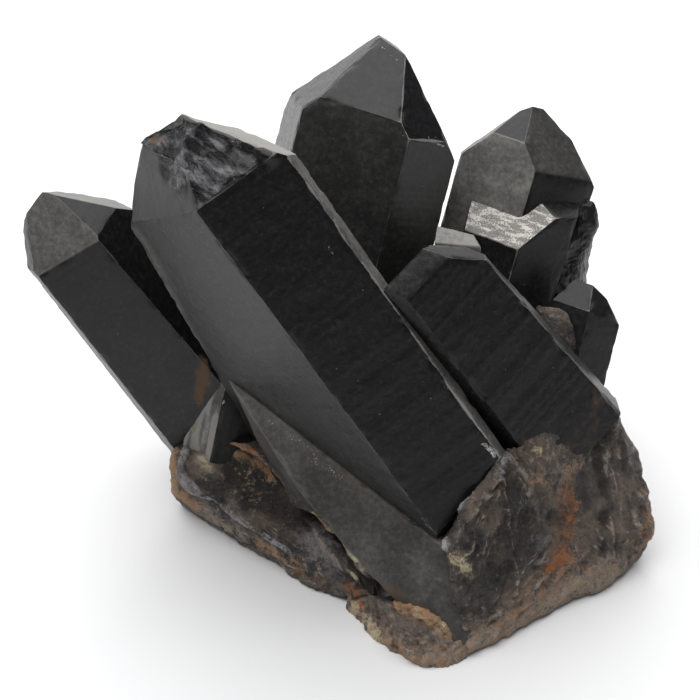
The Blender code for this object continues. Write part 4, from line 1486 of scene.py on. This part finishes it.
class ClusterFinish(bpy.types.PropertyGroup):
    """Colours of the quartz and its root"""

    morion: colour_property("Morion", "Body colour of the black quartz", (0.006, 0.006, 0.007))
    film: colour_property("Dust film", "Colour of a fully dusted face", (0.28, 0.27, 0.25))
    # Fresh break colour: broken quartz's grey, also a painted sheen of its hackle
    break_grey_and_sheen: colour_property("Fresh break", "Colour of glassy broken quartz and its painted sheen", (0.16, 0.16, 0.17))
    stain: colour_property("Brown stain", "Colour of thin brown stains", (0.15, 0.09, 0.05))
    worn_edge: colour_property("Worn edge", "Colour of worn edges", (0.30, 0.29, 0.27))
    # White chips colour, also used for the painted glints on the broken tip and the painted sheen on the
    # shelf
    chip: colour_property("White chips", "Colour of crushed white chips", (0.74, 0.71, 0.66))
    dust: colour_property("Dust grains", "Colour of loose dust grains", (0.55, 0.53, 0.50))
    # Root dark colour: the root's own darkest tone, also the colour of the painted shade in its hollows
    root_dark_and_shade: colour_property("Root dark", "Darkest colour of the root", (0.05, 0.045, 0.043))
    root_brown: colour_property("Root brown", "Brown of the root", (0.22, 0.17, 0.135))
    root_grey: colour_property("Root grey", "Grey of glassy breaks", (0.27, 0.26, 0.27))
    # Worn root colour: the root's worn ridges and light patches, and the painted highlight on its ridges
    worn_root_and_highlight: colour_property("Worn root and highlight", "Colour of the root's worn ridges and light patches, and of painted ridge highlight", (0.49, 0.40, 0.33))
    root_light: colour_property("Root light", "Colour of the root's lighter streaks", (0.53, 0.46, 0.42))
    # Settled dirt colour: dirt and painted shade in the root's hollows
    settled_dirt_and_shade: colour_property("Settled dirt and shade", "Colour of dirt and painted shade in the root's hollows", (0.09, 0.06, 0.03))
    rust: colour_property("Rust", "Rust colour", (0.45, 0.17, 0.06))
    pale: colour_property("Pale rim", "Colour of the weathered rim", (0.58, 0.36, 0.20))
    clay: colour_property("Clay", "Colour of dried clay", (0.75, 0.62, 0.40))
    lip: colour_property("Glassy lip", "Colour of the glassy lip", (0.50, 0.495, 0.54))


class ClusterStage(bpy.types.PropertyGroup):
    """Floor, camera and lights"""

    floor: colour_property("Floor", "Colour of the floor", (0.89, 0.89, 0.895))
    lens: number_property("Lens", "Focal length", 85.0, "CAMERA")
    distance: number_property("Camera distance", "From the camera to the aim", 0.4)
    elevation: number_property("Camera elevation", "Above the horizon", math.radians(38.0), "ROTATION")
    aim_height: number_property("Aim height", "Height of the point that the camera looks at", 0.06)
    top_light: number_property("Top light", "Power of the soft light overhead", 43.0, "POWER")
    back_light: number_property("Back light", "Power of the soft light behind", 13.0, "POWER")
    room: number_property("Room light", "Strength of the room's even light", 0.15, "NONE")


def seat(piece, node):
    """A piece rides on the one body and stands for its solid."""
    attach(piece, "root")
    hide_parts(node)


class CLUSTER_OT_grow_crystals(bpy.types.Operator):
    """Grow the crystals over their solids"""

    bl_idname = "cluster.grow_crystals"
    bl_label = "Grow crystals"

    def execute(self, context):
        scene = context.scene
        groups = shared_groups()
        material = morion_material(groups, scene.cluster_finish)
        for name, spec in CRYSTALS.items():
            crystal = grow_crystal(name + "_look", spec, LOOKS[name], scene.cluster_sizes)
            crystal.data.materials.append(material)
            seat(crystal, STANDS_FOR.get(name, name))
        return {"FINISHED"}


class CLUSTER_OT_break_root(bpy.types.Operator):
    """Make the broken root's lumps over its solid"""

    bl_idname = "cluster.break_root"
    bl_label = "Break root"

    def execute(self, context):
        scene = context.scene
        groups = shared_groups()
        rock = root_material(groups, scene.cluster_finish)
        glassy = morion_material(groups, scene.cluster_finish)
        for name, spec in {**LUMPS, **ROPES}.items():
            lump = break_lump(name + "_look", spec, scene.cluster_sizes)
            lump.data.materials.append(glassy if "film" in spec else rock)
            seat(lump, "base_matrix")
        wedge = grow_wedge("root_wedge_look", WEDGE, scene.cluster_sizes)
        wedge.data.materials.append(glassy)
        seat(wedge, "base_matrix")
        return {"FINISHED"}


# Distance from the middle of the floor to its edges, in metres
FLOOR_EDGE = 2.5

# Colour of the room's even light
ROOM_COLOUR = (0.95, 0.97, 1.0, 1.0)

# Soft lights, each with its power in the stage's settings: size, place and aim in metres
LIGHTS = {
    "top_light": ((2.4, 2.0), (-0.3, 0.35, 1.5), (0.0, 0.0, 0.05)),
    "back_light": ((2.6, 1.2), (0.0, 1.3, 0.62), (0.0, 0.0, 0.1)),
}

# The camera's sensor width in mm, and the nearest and farthest that it sees in metres
SENSOR_WIDTH = 36.0
CAMERA_CLIP = (0.01, 20.0)


def soft_light(name, size, power, place, aim):
    """A soft rectangular light at a place, facing the aim, that the camera doesn't see."""
    light = bpy.data.lights.new(name, "AREA")
    light.shape = "RECTANGLE"
    light.size, light.size_y = size
    light.energy = power
    lamp = bpy.data.objects.new(name, light)
    bpy.context.scene.collection.objects.link(lamp)
    lamp.location = place
    lamp.rotation_euler = (Vector(aim) - Vector(place)).to_track_quat("-Z", "Y").to_euler()
    lamp.visible_camera = False


class CLUSTER_OT_set_stage(bpy.types.Operator):
    """Lay the floor, hang the lights and place the camera"""

    bl_idname = "cluster.set_stage"
    bl_label = "Set stage"

    def execute(self, context):
        scene = context.scene
        stage = scene.cluster_stage
        mesh = bpy.data.meshes.new("floor")
        corners = [(x * FLOOR_EDGE, y * FLOOR_EDGE, 0.0) for x, y in ((-1, -1), (1, -1), (1, 1), (-1, 1))]
        mesh.from_pydata(corners, [], [(0, 1, 2, 3)])
        floor = bpy.data.objects.new("floor", mesh)
        scene.collection.objects.link(floor)
        floor.data.materials.append(floor_material(stage))

        aim = Vector((0.0, 0.0, stage.aim_height)) + Vector(SHIFT * MM)
        away = Vector((0.0, -math.cos(stage.elevation), math.sin(stage.elevation)))
        up = Vector((0.0, math.sin(stage.elevation), math.cos(stage.elevation)))
        lens = bpy.data.cameras.new("camera")
        lens.lens = stage.lens
        lens.sensor_width = SENSOR_WIDTH
        lens.clip_start, lens.clip_end = CAMERA_CLIP
        camera = bpy.data.objects.new("camera", lens)
        scene.collection.objects.link(camera)
        turn = Matrix((Vector((1.0, 0.0, 0.0)), up, away)).transposed().to_4x4()
        camera.matrix_world = Matrix.Translation(aim + away * stage.distance) @ turn
        scene.camera = camera

        for name, (size, place, target) in LIGHTS.items():
            soft_light(name, size, getattr(stage, name), place, target)
        world = bpy.data.worlds.new("room")
        world.use_nodes = True
        glow = world.node_tree.nodes["Background"]
        glow.inputs["Color"].default_value = ROOM_COLOUR
        glow.inputs["Strength"].default_value = stage.room
        scene.world = world
        scene.view_settings.view_transform = "Standard"
        return {"FINISHED"}


class CLUSTER_PT_panel(bpy.types.Panel):
    """The cluster's steps and settings"""

    bl_label = "Morion cluster"
    bl_idname = "CLUSTER_PT_panel"
    bl_space_type = "VIEW_3D"
    bl_region_type = "UI"
    bl_category = "Morion"

    def draw(self, context):
        for step in STEPS:
            self.layout.operator(step.bl_idname)
        for name in SETTINGS:
            group = getattr(context.scene, name)
            for key in group.__annotations__:
                self.layout.prop(group, key)


STEPS = (CLUSTER_OT_grow_crystals, CLUSTER_OT_break_root, CLUSTER_OT_set_stage)
SETTINGS = {"cluster_sizes": ClusterSizes, "cluster_finish": ClusterFinish, "cluster_stage": ClusterStage}
CLASSES = (*SETTINGS.values(), *STEPS, CLUSTER_PT_panel)


def register():
    """Make the classes and the scene's settings known to Blender."""
    for kind in CLASSES:
        bpy.utils.register_class(kind)
    for name, kind in SETTINGS.items():
        setattr(bpy.types.Scene, name, bpy.props.PointerProperty(type=kind))


def unregister():
    """Take the settings and the classes away again."""
    for name in SETTINGS:
        delattr(bpy.types.Scene, name)
    for kind in reversed(CLASSES):
        bpy.utils.unregister_class(kind)


def main():
    """Register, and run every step."""
    register()
    bpy.ops.cluster.grow_crystals()
    bpy.ops.cluster.break_root()
    bpy.ops.cluster.set_stage()


if __name__ == "__main__":
    main()
